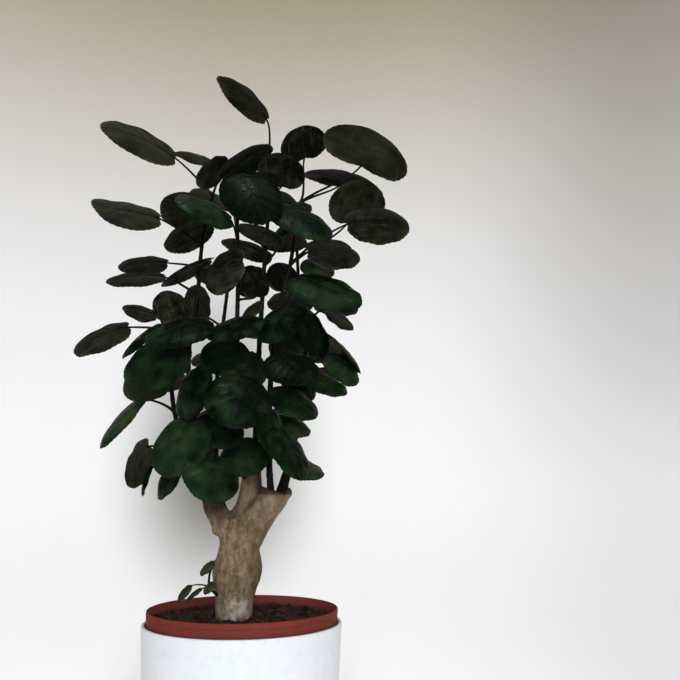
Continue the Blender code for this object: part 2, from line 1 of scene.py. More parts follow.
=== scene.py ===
"""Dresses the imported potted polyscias: fine leaves with veins, bark, soil, two pots, lights and camera.

Sizes are in millimetres and become metres as each mesh is made. The frame is the CAD model's: the origin is
the middle of the cover pot's underside, +Z is up and the camera looks along +Y.
"""

import logging
import math
from collections.abc import Sequence
from dataclasses import dataclass, field
from enum import Enum

import bmesh
import bpy
import numpy as np
from bpy.types import Material, Mesh, Node, NodeSocket, Object
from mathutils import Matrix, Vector, noise


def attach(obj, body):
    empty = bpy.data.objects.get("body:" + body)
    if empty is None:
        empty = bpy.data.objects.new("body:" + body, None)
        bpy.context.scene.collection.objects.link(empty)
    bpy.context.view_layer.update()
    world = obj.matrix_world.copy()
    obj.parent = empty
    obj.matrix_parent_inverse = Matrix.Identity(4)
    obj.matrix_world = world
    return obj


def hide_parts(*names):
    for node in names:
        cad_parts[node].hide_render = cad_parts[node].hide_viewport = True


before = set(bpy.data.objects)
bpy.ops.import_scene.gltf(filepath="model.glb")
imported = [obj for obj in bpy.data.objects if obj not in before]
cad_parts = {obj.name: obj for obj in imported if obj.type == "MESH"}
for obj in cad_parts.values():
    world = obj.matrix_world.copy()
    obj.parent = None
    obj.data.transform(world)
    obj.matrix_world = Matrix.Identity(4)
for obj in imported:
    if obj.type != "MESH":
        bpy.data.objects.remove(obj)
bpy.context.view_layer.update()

LOG = logging.getLogger("potted_polyscias")
MM = 0.001
ROOT_BODY = "root"
ALL_SMOOTH = 180.0

Point = tuple[float, float, float]
Colour = tuple[float, float, float]
# A pair of numbers, such as where a soft rise starts and where it ends.
Span = tuple[float, float]
# A lump on the bark: its middle and its three radii.
Knob = tuple[Point, Point]
# A height, the middle's x and y, and the half width and half depth of the trunk there.
Section = tuple[float, float, float, float, float]
Array = np.ndarray
# A closed shape's points, one row each, and its triangles, as the numbers of their points.
Shape = tuple[Array, Array]

BLACK: Colour = (0.0, 0.0, 0.0)


class Slot(Enum):
    """The record's material slots."""

    CERAMIC = "white_ceramic"
    PLASTIC = "terracotta_plastic"
    SOIL = "potting_soil"
    BARK = "bark"
    FOLIAGE = "foliage"


class Face(Enum):
    """The two faces of a leaf blade."""

    UPPER = 1
    UNDER = -1


class Part(Enum):
    """The material slots of a leafy stem's mesh, by number."""

    UPPER_FACE = 0
    UNDER_FACE = 1
    STALK = 2
    STEM = 3


class Wire:
    """A shader value that Python's arithmetic works on, by way of Math nodes."""

    def __init__(self, board: "Board", socket: NodeSocket) -> None:
        """Keeps the board and the socket that the value comes from."""
        self.board = board
        self.socket = socket

    def __add__(self, other: "Wire | float") -> "Wire":
        """self + other."""
        return self.board.maths("ADD", self, other)

    def __radd__(self, other: float) -> "Wire":
        """other + self."""
        return self.board.maths("ADD", other, self)

    def __sub__(self, other: "Wire | float") -> "Wire":
        """self - other."""
        return self.board.maths("SUBTRACT", self, other)

    def __rsub__(self, other: float) -> "Wire":
        """other - self."""
        return self.board.maths("SUBTRACT", other, self)

    def __mul__(self, other: "Wire | float") -> "Wire":
        """self * other."""
        return self.board.maths("MULTIPLY", self, other)

    def __rmul__(self, other: float) -> "Wire":
        """other * self."""
        return self.board.maths("MULTIPLY", other, self)

    def __truediv__(self, other: "Wire | float") -> "Wire":
        """self / other."""
        return self.board.maths("DIVIDE", self, other)

    def __rtruediv__(self, other: float) -> "Wire":
        """other / self."""
        return self.board.maths("DIVIDE", other, self)

    def __abs__(self) -> "Wire":
        """The value without its sign."""
        return self.board.maths("ABSOLUTE", self)


class Board:
    """One material's nodes, and the few ways in which they are added."""

    # The colour sockets of a Mix node go by number, because its other sockets have the same names.
    MIX_SHARE, MIX_FIRST, MIX_SECOND, MIX_RESULT = 0, 6, 7, 2

    def __init__(self, name: str, specular: float = 0.5) -> None:
        """Starts a material with its Principled shader.

        Args:
            name: The material's name.
            specular: The shader's specular level, the same all over the surface.
        """
        self.material = bpy.data.materials.new(name)
        self.material.use_nodes = True
        self.tree = self.material.node_tree
        self.shader = self.tree.nodes["Principled BSDF"]
        self.shader.inputs["Specular IOR Level"].default_value = specular

    def node(self, kind: str, settings: dict[str, object], sockets: dict[str | int, object]) -> Node:
        """Adds a node of any kind.

        Args:
            kind: Blender's name for the node's type.
            settings: The node's own settings, which are set first.
            sockets: What each input socket, by name or number, gets: a Wire or a plain value.

        Returns:
            The new node.
        """
        made = self.tree.nodes.new(kind)
        for name, value in settings.items():
            setattr(made, name, value)
        for key, value in sockets.items():
            self.feed(made.inputs[key], value)
        return made

    def feed(self, socket: NodeSocket, value: object) -> None:
        """Links a Wire to an input socket, or sets the socket's own value.

        Args:
            socket: The input socket.
            value: A Wire, a number, a vector or a colour.
        """
        if isinstance(value, Wire):
            self.tree.links.new(value.socket, socket)
        elif isinstance(value, tuple) and socket.type == "RGBA" and len(value) == 3:
            socket.default_value = (*value, 1.0)
        else:
            socket.default_value = value

    def maths(self, operation: str, *values: "Wire | float") -> Wire:
        """Adds a Math node.

        Args:
            operation: The node's operation.
            values: Its operands in order.

        Returns:
            The node's value.
        """
        node = self.node("ShaderNodeMath", {"operation": operation}, dict(enumerate(values)))
        return Wire(self, node.outputs[0])

    def length(self, across: Wire, up: Wire) -> Wire:
        """The length of the slope that goes this far across and this far up."""
        return self.maths("SQRT", across * across + up * up)

    def reading(self) -> tuple[Wire, Wire, Wire]:
        """The three numbers that the mesh keeps at each point."""
        node = self.node("ShaderNodeAttribute", {"attribute_name": Draft.READING}, {})
        return self.split(Wire(self, node.outputs["Vector"]))

    def split(self, vector: Wire) -> tuple[Wire, Wire, Wire]:
        """The three numbers of a vector."""
        node = self.node("ShaderNodeSeparateXYZ", {}, {0: vector})
        return Wire(self, node.outputs[0]), Wire(self, node.outputs[1]), Wire(self, node.outputs[2])

    def place(self, stretch: Point = (1.0, 1.0, 1.0)) -> Wire:
        """The place on the object in millimetres.

        Args:
            stretch: What each axis is multiplied by, to draw a pattern out.

        Returns:
            The place as a vector.
        """
        local = self.node("ShaderNodeTexCoord", {}, {})
        scale = tuple(part / MM for part in stretch)
        node = self.node("ShaderNodeVectorMath", {"operation": "MULTIPLY"},
                         {0: Wire(self, local.outputs["Object"]), 1: scale})
        return Wire(self, node.outputs[0])

    def join(self, x: "Wire | float", y: "Wire | float", z: "Wire | float") -> Wire:
        """A vector of three numbers."""
        node = self.node("ShaderNodeCombineXYZ", {}, {0: x, 1: y, 2: z})
        return Wire(self, node.outputs[0])

    def cloud(self, vector: Wire, size: float, detail: float = 3.0, roughness: float = 0.55) -> Wire:
        """Soft noise from 0 to 1.

        Args:
            vector: Where the noise is read.
            size: The breadth of one blot, in the vector's units.
            detail: How many finer layers it has.
            roughness: How strong the finer layers are.

        Returns:
            The noise's value.
        """
        node = self.node("ShaderNodeTexNoise", {},
                         {"Vector": vector, "Scale": 1.0 / size, "Detail": detail, "Roughness": roughness})
        return Wire(self, node.outputs[0])

    def cells(self, vector: Wire, size: float, feature: str = "F1") -> Wire:
        """The distance pattern of scattered cells.

        Args:
            vector: Where the pattern is read.
            size: The breadth of one cell, in the vector's units.
            feature: Which of the Voronoi node's distances is read.

        Returns:
            The distance.
        """
        node = self.node("ShaderNodeTexVoronoi", {"feature": feature},
                         {"Vector": vector, "Scale": 1.0 / size})
        return Wire(self, node.outputs["Distance"])

    def step(self, value: Wire, low: float, high: float) -> Wire:
        """A smooth rise from 0 at low to 1 at high; it falls where low is above high.

        Args:
            value: What is read.
            low: Where the result is 0.
            high: Where the result is 1.

        Returns:
            The result.
        """
        start, end, first, last = (low, high, 0.0, 1.0) if low < high else (high, low, 1.0, 0.0)
        node = self.node("ShaderNodeMapRange", {"interpolation_type": "SMOOTHSTEP"},
                         {"Value": value, "From Min": start, "From Max": end,
                          "To Min": first, "To Max": last})
        return Wire(self, node.outputs[0])

    def mix(self, first: "Wire | Colour", second: "Wire | Colour", share: "Wire | float") -> Wire:
        """A colour between two.

        Args:
            first: The colour at share 0.
            second: The colour at share 1.
            share: How much of the second colour there is.

        Returns:
            The mixed colour.
        """
        node = self.node("ShaderNodeMix", {"data_type": "RGBA", "clamp_factor": True},
                         {self.MIX_SHARE: share, self.MIX_FIRST: first, self.MIX_SECOND: second})
        return Wire(self, node.outputs[self.MIX_RESULT])

    def coats(self, colour: "Wire | Colour", *coats: tuple[Colour, "Wire | float"]) -> Wire:
        """A colour with others laid over it in order.

        Args:
            colour: The colour under them all.
            coats: Each coat's colour, and how much of it there is.

        Returns:
            The colour on top.
        """
        for coat, share in coats:
            colour = self.mix(colour, coat, share)
        return colour

    def finish(self, colour: "Wire | Colour", roughness: "Wire | float", relief: Wire, depth: float,
               strength: float = 1.0) -> Material:
        """Feeds the shader and returns the material.

        Args:
            colour: The surface's colour.
            roughness: The surface's roughness.
            relief: The height of the fine relief, from 0 to about 1.
            depth: What a relief of 1 stands for, in millimetres.
            strength: How strongly the relief bends the light.

        Returns:
            The finished material.
        """
        bump = self.node("ShaderNodeBump", {},
                         {"Height": relief, "Distance": depth * MM, "Strength": strength})
        self.feed(self.shader.inputs["Base Color"], colour)
        self.feed(self.shader.inputs["Roughness"], roughness)
        self.feed(self.shader.inputs["Normal"], Wire(self, bump.outputs[0]))
        return self.material


@dataclass(frozen=True)
class LeafFinish:
    """One face of a leaf blade, with midrib, side veins and a net of fine ones. Its pale streaks along
    creases are painted highlights, and on the under face so is the pale rim.

    The mesh's reading there is the share of the blade's length, the side from -1 to 1, and the leaf's tone.
    The patterns are drawn in millimetres on a blade laid flat. Flat_size holds its length, half its width,
    and how far a tone of 1 moves the patterns.
    """

    name: str
    face: Face
    deep: Colour
    light: Colour
    young: Colour
    vein: Colour
    # The colour near the rim: on the under face it is pale, a painted highlight along the rim.
    edge: Colour
    gloss: float
    specular: float
    vein_show: float
    # How strongly pale streaks along the creases show: painted highlights where wrinkles would catch the
    # light.
    crease_highlight: float
    flat_size: Point = (60.0, 30.0, 90.0)
    net_size: float = 3.4
    net_edge: Span = (0.12, 0.0)
    grain_size: float = 1.3
    blot_size: float = 15.0
    broad_size: float = 32.0
    crease_along: float = 14.0
    crease_slant: float = 6.0
    crease_across: float = 46.0
    crease_size: float = 7.0
    crease_edge: Span = (0.55, 0.66)
    base_bare: Span = (0.08, 0.13)
    tip_bare: Span = (0.93, 0.86)
    side_bare: Span = (1.0, 0.75)
    side_vein_edge: Span = (0.11, 0.02)
    midrib_edge: Span = (0.045, 0.012)
    midrib_foot: Span = (0.10, 0.15)
    rim_edge: Span = (0.86, 1.0)
    depth: float = 0.55

    def material(self) -> Material:
        """Makes the leaf material.

        Returns:
            The material.
        """
        board = Board(self.name, self.specular)
        share, side, tone = board.reading()
        away = abs(side)
        vein = self._veins(board, share, away)
        length, half_width, tone_shift = self.flat_size
        flat = board.join(share * length, side * half_width, tone * tone_shift)
        net = board.step(board.cells(flat, self.net_size, "DISTANCE_TO_EDGE"), *self.net_edge)
        blots = board.cloud(flat, self.blot_size)
        broad = board.cloud(flat, self.broad_size, 2.0)
        grain = board.cloud(flat, self.grain_size, 2.0)
        patch = tone + 2.8 * (broad - 0.5) + 1.8 * (blots - 0.5)
        slanting = share * self.crease_along + away * self.crease_slant
        drawn_out = board.join(slanting, side * self.crease_across, tone * tone_shift)
        crease = board.step(board.cloud(drawn_out, self.crease_size, 3.0), *self.crease_edge)
        streak = vein * (0.4 + 1.2 * blots)
        rim = board.step(away * away + (share - 0.5) * (share - 0.5) * 4.0, *self.rim_edge)
        colour = board.coats(
            self.deep,
            (self.light, patch),
            (self.young, patch - 1.0),
            # Painted highlights: pale streaks along the creases, and below, the pale rim of the under face.
            (self.vein, streak * self.vein_show + net * (0.25 * self.vein_show) + crease * self.crease_highlight),
            (self.edge, rim * board.step(blots, 0.38, 0.62) * 0.7),
        )
        roughness = self.gloss + 0.16 * (blots - 0.5) + 0.10 * net + 0.05 * vein
        way = -float(self.face.value)
        relief = 0.5 + way * 0.42 * vein + way * 0.10 * net + 0.06 * grain + 0.8 * blots
        return board.finish(colour, roughness, relief, self.depth, 0.8)

    def _veins(self, board: Board, share: Wire, away: Wire) -> Wire:
        """The midrib and the side veins, which follow those of the mesh.

        Args:
            board: The material's board.
            share: The share of the blade's length.
            away: How far to the side, from 0 to 1.

        Returns:
            How much of a vein the place is.
        """
        along = (share - VEINS.lean * away) / (1.0 + VEINS.spread * away)
        phase = along / VEINS.spacing
        gap = abs(phase - board.maths("ROUND", phase))
        lengthways = board.step(along, *self.base_bare) * board.step(along, *self.tip_bare)
        inside = lengthways * board.step(away, *self.side_bare)
        side_vein = board.step(gap, *self.side_vein_edge) * inside
        midrib = board.step(away, *self.midrib_edge) * board.step(share, *self.midrib_foot)
        return board.maths("MAXIMUM", side_vein * 0.75, midrib)


@dataclass(frozen=True)
class StemFinish:
    """A young stem or a leaf stalk: green-brown and smooth, woodier and pale towards its foot.

    The mesh's reading there is the share of the length from foot to tip, the length in millimetres, and a
    tone. Turn holds the shares between which the foot's colour gives way to the top's.
    """

    name: str
    foot: Colour
    top: Colour
    speck: Colour
    turn: Span
    specular: float = 0.18
    blot_size: float = 6.0
    pore_size: float = 1.9
    pore_stretch: Point = (1.0, 1.0, 0.45)
    pore_edge: Span = (0.30, 0.16)
    streak_size: float = 1.2
    streak_stretch: Point = (1.0, 1.0, 0.15)
    depth: float = 0.25

    def material(self) -> Material:
        """Makes the stem material.

        Returns:
            The material.
        """
        board = Board(self.name, self.specular)
        share, _, tone = board.reading()
        blots = board.cloud(board.place(), self.blot_size)
        youth = board.step(share + 0.25 * (blots - 0.5), *self.turn)
        pores = board.step(board.cells(board.place(self.pore_stretch), self.pore_size), *self.pore_edge)
        colour = board.coats(self.foot, (self.top, youth), (self.speck, pores * (0.8 - 0.6 * youth)))
        streaks = board.cloud(board.place(self.streak_stretch), self.streak_size, 2.0)
        relief = 0.4 * pores + 0.5 * streaks + 0.1 * tone
        roughness = 0.62 - 0.16 * youth + 0.1 * (blots - 0.5)
        return board.finish(colour, roughness, relief, self.depth, 0.7)


@dataclass(frozen=True)
class BarkFinish:
    """The trunk's smooth tan bark with pale pores, dark creases, an ashy foot and sawn ends.

    The mesh's reading there is the height of the relief, how much of a pore or scar the point is, and how
    much of a sawn end it is. The right side is darker lower down, a painted shade; the right arm is dusty,
    and a crust sits at the foot.
    """

    tan: Colour = (0.226, 0.158, 0.097)
    pale: Colour = (0.395, 0.316, 0.222)
    crease: Colour = (0.098, 0.068, 0.042)
    green: Colour = (0.150, 0.132, 0.082)
    ash: Colour = (0.640, 0.600, 0.540)
    sawn: Colour = (0.042, 0.024, 0.016)
    dust: Colour = (0.470, 0.420, 0.340)
    specular: float = 0.3
    blot_stretch: Point = (1.0, 1.0, 0.42)
    broad_size: float = 24.0
    blot_size: float = 6.5
    streak_stretch: Point = (1.0, 1.0, 0.10)
    streak_size: float = 2.4
    grain_stretch: Point = (1.0, 1.0, 0.35)
    grain_size: float = 1.1
    ring_stretch: Point = (0.12, 0.12, 1.0)
    ring_size: float = 1.6
    fleck_size: float = 2.6
    mottle_size: float = 3.4
    foot_z: float = 168.0
    ash_top_z: float = 196.0
    ash_wander: float = 14.0
    crust_x: float = -3.0
    crust_z: float = 177.0
    crust_size: float = 13.0
    crust_grain: float = 9.0
    stain_above: float = 5.0
    stain_below: float = 4.0
    right_side_shade: float = 0.22
    right_side_shade_x: Span = (0.0, 14.0)
    right_side_shade_z: Span = (252.0, 232.0)
    right_side_shade_wander: float = 5.0
    dust_x: Span = (14.0, -6.0)
    arm_dust: float = 0.16
    arm_x: Span = (2.0, 20.0)
    arm_z: Span = (244.0, 276.0)
    depth: float = 0.30

    def material(self) -> Material:
        """Makes the bark material.

        Returns:
            The material.
        """
        board = Board("tan_bark", self.specular)
        relief, pore, sawn = board.reading()
        place = board.place()
        x, _, height = board.split(place)
        upright = board.place(self.blot_stretch)
        broad = board.cloud(upright, self.broad_size, 4.0)
        blots = board.cloud(upright, self.blot_size, 4.0, 0.6)
        streaks = board.cloud(board.place(self.streak_stretch), self.streak_size, 3.0, 0.6)
        grain = board.cloud(board.place(self.grain_stretch), self.grain_size, 4.0, 0.7)
        rings = board.cloud(board.place(self.ring_stretch), self.ring_size, 2.0)
        mottle = board.cloud(place, self.mottle_size, 4.0, 0.7)
        flecks = board.step(board.cells(place, self.fleck_size), 0.34, 0.16) * board.step(broad, 0.40, 0.60)
        right_side_shade = board.step(x + self.right_side_shade_wander * (broad - 0.5), *self.right_side_shade_x) * board.step(height, *self.right_side_shade_z)
        dusty = board.step(mottle, 0.54, 0.66) * board.step(x, *self.dust_x)
        arm = board.step(x, *self.arm_x) * board.step(height, *self.arm_z)
        colour = board.coats(
            self.tan,
            (self.pale, board.step(blots * 0.6 + broad * 0.5, 0.50, 0.66) * 0.9),
            (self.green, board.step(broad, 0.50, 0.72) * 0.55),
            (self.crease, board.step(rings, 0.60, 0.74) * 0.22),
            (self.crease, board.step(relief, 0.42, 0.15) * 0.40),
            (self.pale, pore * 0.40),
            (self.crease, board.step(blots, 0.47, 0.36) * 0.42),
            (self.crease, board.step(streaks, 0.56, 0.72) * 0.14),
            # Painted shade: the right side of the trunk is darker lower down.
            (self.crease, right_side_shade * self.right_side_shade),
            (self.pale, flecks * 0.25),
            (self.dust, dusty * 0.40),
            (self.crease, board.step(mottle, 0.44, 0.34) * 0.30),
            (self.dust, arm * self.arm_dust),
            *self._foot(board, x, height, blots),
            (self.sawn, sawn * (0.55 + 0.4 * grain)),
        )
        roughness = 0.70 + 0.16 * (grain - 0.5) - 0.10 * pore
        fine = 0.55 * grain + 0.35 * rings + 0.10 * flecks + 0.15 * streaks + 0.35 * blots + 0.45 * mottle
        return board.finish(colour, roughness, fine, self.depth, 0.6)

    def _foot(self, board: Board, x: Wire, height: Wire, blots: Wire) -> list[tuple[Colour, Wire]]:
        """The coats at the trunk's foot: ash, a pale crust, and a stain where the soil begins.

        Args:
            board: The material's board.
            x: The place along X in millimetres.
            height: Its height.
            blots: The bark's blots.

        Returns:
            Each coat's colour and how much of it there is.
        """
        crust = board.cloud(board.place(), self.crust_grain, 4.0, 0.6)
        ashy = board.step(height + self.ash_wander * (crust - 0.5), self.ash_top_z, self.foot_z)
        across = (x - self.crust_x) / self.crust_size
        up = (height - self.crust_z) / self.crust_size
        patch = board.step(board.length(across, up) + 2.2 * (blots - 0.5), 1.0, 0.45)
        low = board.step(height, self.foot_z + self.stain_above, self.foot_z - self.stain_below)
        return [
            (self.ash, ashy * (0.12 + 0.36 * board.step(crust, 0.50, 0.60))),
            (self.ash, patch * board.step(crust, 0.36, 0.52) * 0.75),
            (self.crease, low * board.step(blots, 0.35, 0.62) * 0.7),
        ]


@dataclass(frozen=True)
class SoilFinish:
    """Dark moist potting soil. The mesh's reading there is each crumb's own tone, and how red it is."""

    dark: Colour = (0.020, 0.013, 0.010)
    brown: Colour = (0.108, 0.060, 0.044)
    red: Colour = (0.140, 0.060, 0.040)
    specular: float = 0.3
    blot_size: float = 4.0
    grain_size: float = 0.8
    depth: float = 1.0

    def material(self) -> Material:
        """Makes the soil material.

        Returns:
            The material.
        """
        board = Board("potting_soil_crumbs", self.specular)
        tone, red, _ = board.reading()
        place = board.place()
        blots = board.cloud(place, self.blot_size, 5.0, 0.7)
        grain = board.cloud(place, self.grain_size, 4.0, 0.75)
        browned = board.step(blots * 0.5 + grain * 0.3 + tone * 0.35, 0.35, 0.85)
        colour = board.coats(self.dark, (self.brown, browned), (self.red, red * 0.7))
        roughness = 0.90 - 0.25 * board.step(grain, 0.62, 0.80)
        return board.finish(colour, roughness, 0.7 * grain + 0.3 * blots, self.depth, 0.9)


@dataclass(frozen=True)
class PlasticFinish:
    """The nursery pot's moulded brown plastic, a little dusty, with soil splashed on the inside."""

    body: Colour = (0.226, 0.059, 0.046)
    worn: Colour = (0.262, 0.088, 0.070)
    dirt: Colour = (0.045, 0.024, 0.018)
    inner: Colour = (0.370, 0.115, 0.095)
    specular: float = 0.04
    soil_z: float = 164.3
    splash_above: float = 6.0
    splash_below: float = 2.0
    splash_wander: float = 9.0
    inner_radius: float = 92.9
    inner_edge: float = 0.6
    broad_size: float = 30.0
    smear_stretch: Point = (1.0, 1.0, 0.22)
    smear_size: float = 7.0
    speck_size: float = 1.6
    depth: float = 0.16

    def material(self) -> Material:
        """Makes the plastic material.

        Returns:
            The material.
        """
        board = Board("terracotta_brown_plastic", self.specular)
        place = board.place()
        x, y, z = board.split(place)
        broad = board.cloud(place, self.broad_size, 3.0)
        smear = board.cloud(board.place(self.smear_stretch), self.smear_size, 4.0, 0.6)
        specks = board.cloud(place, self.speck_size, 3.0, 0.7)
        inside = board.step(board.length(x, y), self.inner_radius + self.inner_edge, self.inner_radius)
        splash = board.step(z + self.splash_wander * (smear - 0.5),
                            self.soil_z + self.splash_above, self.soil_z - self.splash_below)
        spots = board.step(specks + 0.25 * (smear - 0.5), 0.60, 0.68)
        colour = board.coats(
            self.body,
            (self.worn, board.step(broad * 0.5 + smear * 0.5, 0.45, 0.75) * 0.55),
            (self.inner, inside * 0.7),
            (self.dirt, inside * board.maths("MAXIMUM", splash * 0.8, spots * 0.75)),
            (self.dirt, spots * 0.10),
        )
        roughness = 0.56 + 0.20 * (smear - 0.4) + 0.25 * inside * splash
        relief = 0.5 * smear + 0.35 * specks + 0.5 * inside * splash
        return board.finish(colour, roughness, relief, self.depth, 0.5)


@dataclass(frozen=True)
class CeramicFinish:
    """The cover pot's white glaze over a softly mottled, hammered-looking body."""

    white: Colour = (0.840, 0.872, 0.918)
    shade: Colour = (0.735, 0.765, 0.830)
    scuff: Colour = (0.640, 0.635, 0.625)
    specular: float = 0.20
    dent_size: float = 5.5
    mottle_size: float = 9.0
    pore_size: float = 1.1
    pinhole_gap: float = 7.0
    wear_z: Span = (3.4, 1.2)
    wear_wander: float = 3.0
    depth: float = 0.5

    def material(self) -> Material:
        """Makes the ceramic material.

        Returns:
            The material.
        """
        board = Board("mottled_white_glaze", self.specular)
        place = board.place()
        height = board.split(place)[2]
        dents = board.cells(place, self.dent_size, "SMOOTH_F1")
        mottle = board.cloud(place, self.mottle_size, 5.0, 0.62)
        pores = board.cloud(place, self.pore_size, 3.0, 0.6)
        pinholes = board.step(board.cells(place, self.pinhole_gap), 0.10, 0.05)
        foot_wear = board.step(height + self.wear_wander * mottle, *self.wear_z)
        colour = board.coats(
            self.white,
            (self.shade, board.step(mottle, 0.46, 0.72) * 0.40),
            (self.scuff, pinholes * 0.5),
            (self.scuff, foot_wear * 0.7),
        )
        roughness = 0.42 + 0.22 * (mottle - 0.4) + 0.25 * foot_wear
        relief = 0.8 * dents + 0.45 * mottle + 0.10 * pores - 0.4 * pinholes
        return board.finish(colour, roughness, relief, self.depth, 0.55)


@dataclass(frozen=True)
class SoftShade:
    """An oval of soft shade on the backdrop, with its sizes as slopes from the place it spreads from."""

    strength: float
    middle: Span
    half_width: float
    reach_up: float
    reach_down: float
    fades_in_y: Span

    def share(self, board: Board, across: Wire, rise: Wire, y: Wire) -> Wire:
        """How dark the shade is.

        Args:
            board: The material's board.
            across: The slope sideways.
            rise: The slope upwards.
            y: The place along Y in millimetres.

        Returns:
            The share of the light that it takes away.
        """
        middle_across, middle_rise = self.middle
        beside = (across - middle_across) / self.half_width
        above = rise - middle_rise
        upright = board.maths("MAXIMUM", above / self.reach_up, above / -self.reach_down)
        inside = board.step(board.length(beside, upright), 1.0, 0.0)
        return self.strength * inside * board.step(y, *self.fades_in_y)


@dataclass(frozen=True)
class BackdropFinish:
    """The studio's floor and wall glow softly from within low down, and their paint is warmer and darker
    high up, a painted shade.

    The paint is also darker to the right and at the far left, a painted shade, and the glow dims to the
    sides, by the angle at which a place is seen from the front. Both are a little darker near the floor.
    Behind the plant and behind its pot lie soft painted shadows, which spread from shade_from. Heights and
    sizes are in millimetres.
    """

    low_paint: Colour = (0.785, 0.79, 0.80)
    # The paint high up, warmer and darker: a painted shade.
    high_shade_paint: Colour = (0.650, 0.600, 0.472)
    shade_colour: Colour = (0.070, 0.062, 0.010)
    glow: Colour = (0.352, 0.363, 0.396)
    specular: float = 0.1
    glow_z: Span = (3150.0, 0.0)
    high_shade_z: Span = (1000.0, 2800.0)
    # The paint is darker to the right, less so low down: a painted shade.
    right_shade: float = 0.33
    right_shade_fan: Span = (0.10, 0.443)
    low_right_shade: float = 0.35
    low_right_shade_z: Span = (0.0, 900.0)
    glow_dim: float = 0.13
    glow_dim_fan: Span = (0.0, 0.423)
    side_high_shade: float = 0.75
    side_high_shade_z: Span = (300.0, 2200.0)
    side_fan: Span = (0.447, 0.72)
    side_dim: float = 0.75
    # The paint is darker at the far left: a painted shade.
    left_shade: float = 0.20
    floor_dim: float = 0.04
    floor_dim_z: Span = (350.0, 0.0)
    blotch: float = 0.03
    blotch_size: float = 700.0
    grain_size: float = 5.0
    depth: float = 0.2
    shade_from: Point = (97.0, -779.0, 288.3)
    plant_shade: SoftShade = SoftShade(0.80, (-0.162, 0.023), 0.173, 0.352, 0.215, (200.0, 900.0))
    pot_shade: SoftShade = SoftShade(0.35, (-0.137, -0.25), 0.19, 0.14, 0.14, (100.0, 400.0))

    def material(self) -> Material:
        """Makes the paint.

        Returns:
            The material.
        """
        board = Board("pale_backdrop_paint", self.specular)
        place = board.place()
        x, y, z = board.split(place)
        from_x, from_y, from_z = self.shade_from
        ahead = y - from_y
        fan = board.maths("ARCTAN2", x - from_x, ahead)
        away = board.step(fan, *self.right_shade_fan)
        away = away * (self.low_right_shade + (1.0 - self.low_right_shade) * board.step(z, *self.low_right_shade_z))
        aside = board.step(abs(fan), *self.side_fan)
        left = board.step(-1.0 * fan, *self.side_fan)
        # Where the paint turns warmer and darker: a painted shade, high up and to the right.
        warm = board.maths("MAXIMUM", board.step(z, *self.high_shade_z),
                           self.side_high_shade * away * board.step(z, *self.side_high_shade_z))
        low_down = self.floor_dim * board.step(z, *self.floor_dim_z)
        blotches = self.blotch * board.cloud(place, self.blotch_size, 2.0)
        across, rise = (x - from_x) / ahead, (z - from_z) / ahead
        shade = board.maths("MAXIMUM", self.plant_shade.share(board, across, rise, y),
                            self.pot_shade.share(board, across, rise, y))
        # Painted shade: warmer and darker high up, darker to the right and at the far left, and the painted
        # shadows of the plant and its pot.
        paint = board.coats(
            self.low_paint,
            (self.high_shade_paint, warm),
            (BLACK, self.right_shade * away + low_down + blotches),
            (BLACK, self.left_shade * left),
            (self.shade_colour, shade),
        )
        dimmed = 1.0 - self.glow_dim * board.step(fan, *self.glow_dim_fan) - low_down
        lit = board.step(z, *self.glow_z) * dimmed * (1.0 - self.side_dim * aside) * (1.0 - shade)
        board.feed(board.shader.inputs["Emission Color"], board.mix(BLACK, self.glow, lit))
        board.feed(board.shader.inputs["Emission Strength"], 1.0)
        grain = board.cloud(place, self.grain_size, 2.0)
        return board.finish(paint, 0.9, grain, self.depth, 0.2)


class Draft:
    """The points and triangles of one piece as it grows, in millimetres."""

    READING = "reading"

    def __init__(self) -> None:
        """Starts with nothing."""
        self.points: list[Array] = []
        self.triangles: list[Array] = []
        self.parts: list[Array] = []
        self.readings: list[Array] = []
        self.count = 0

    def add(self, points: Array, triangles: Array, part: int | Array = 0,
            reading: Array | Point = (0.0, 0.0, 0.0)) -> None:
        """Adds a closed shape.

        Args:
            points: The shape's points, one row each.
            triangles: The numbers of each triangle's three points.
            part: The material slot of its triangles, or of each triangle.
            reading: Three numbers for each point, or three for all of them.
        """
        self.points.append(points)
        self.triangles.append(triangles + self.count)
        self.parts.append(np.broadcast_to(part, len(triangles)))
        self.readings.append(np.broadcast_to(np.asarray(reading, float), (len(points), 3)))
        self.count += len(points)

    def object(self, name: str, finishes: Sequence[Material], sharp: float) -> Object:
        """Makes the piece.

        Args:
            name: The piece's name.
            finishes: Its materials in the order of their slots.
            sharp: The angle in degrees from which an edge is sharp.

        Returns:
            The new object.
        """
        mesh = bpy.data.meshes.new(name)
        points, triangles = np.concatenate(self.points) * MM, np.concatenate(self.triangles)
        mesh.from_pydata(points.tolist(), [], triangles.tolist())
        for finish in finishes:
            mesh.materials.append(finish)
        mesh.polygons.foreach_set("material_index", np.concatenate(self.parts).astype(np.int32))
        keep_readings(mesh, np.concatenate(self.readings))
        return stand(name, mesh, sharp)


def keep_readings(mesh: Mesh, readings: Array) -> None:
    """Stores three numbers at each point of a mesh, for its finish.

    Args:
        mesh: The mesh.
        readings: One row for each point.
    """
    stored = mesh.attributes.new(Draft.READING, "FLOAT_VECTOR", "POINT")
    stored.data.foreach_set("vector", readings.astype(np.float32).ravel())


def stand(name: str, mesh: Mesh, sharp: float) -> Object:
    """Puts a mesh in the scene, smooth but for its sharp edges.

    Args:
        name: The object's name.
        mesh: Its mesh.
        sharp: The angle in degrees from which an edge is sharp.

    Returns:
        The new object.
    """
    mesh.shade_smooth()
    mesh.set_sharp_from_angle(angle=math.radians(sharp))
    piece = bpy.data.objects.new(name, mesh)
    bpy.context.scene.collection.objects.link(piece)
    return piece


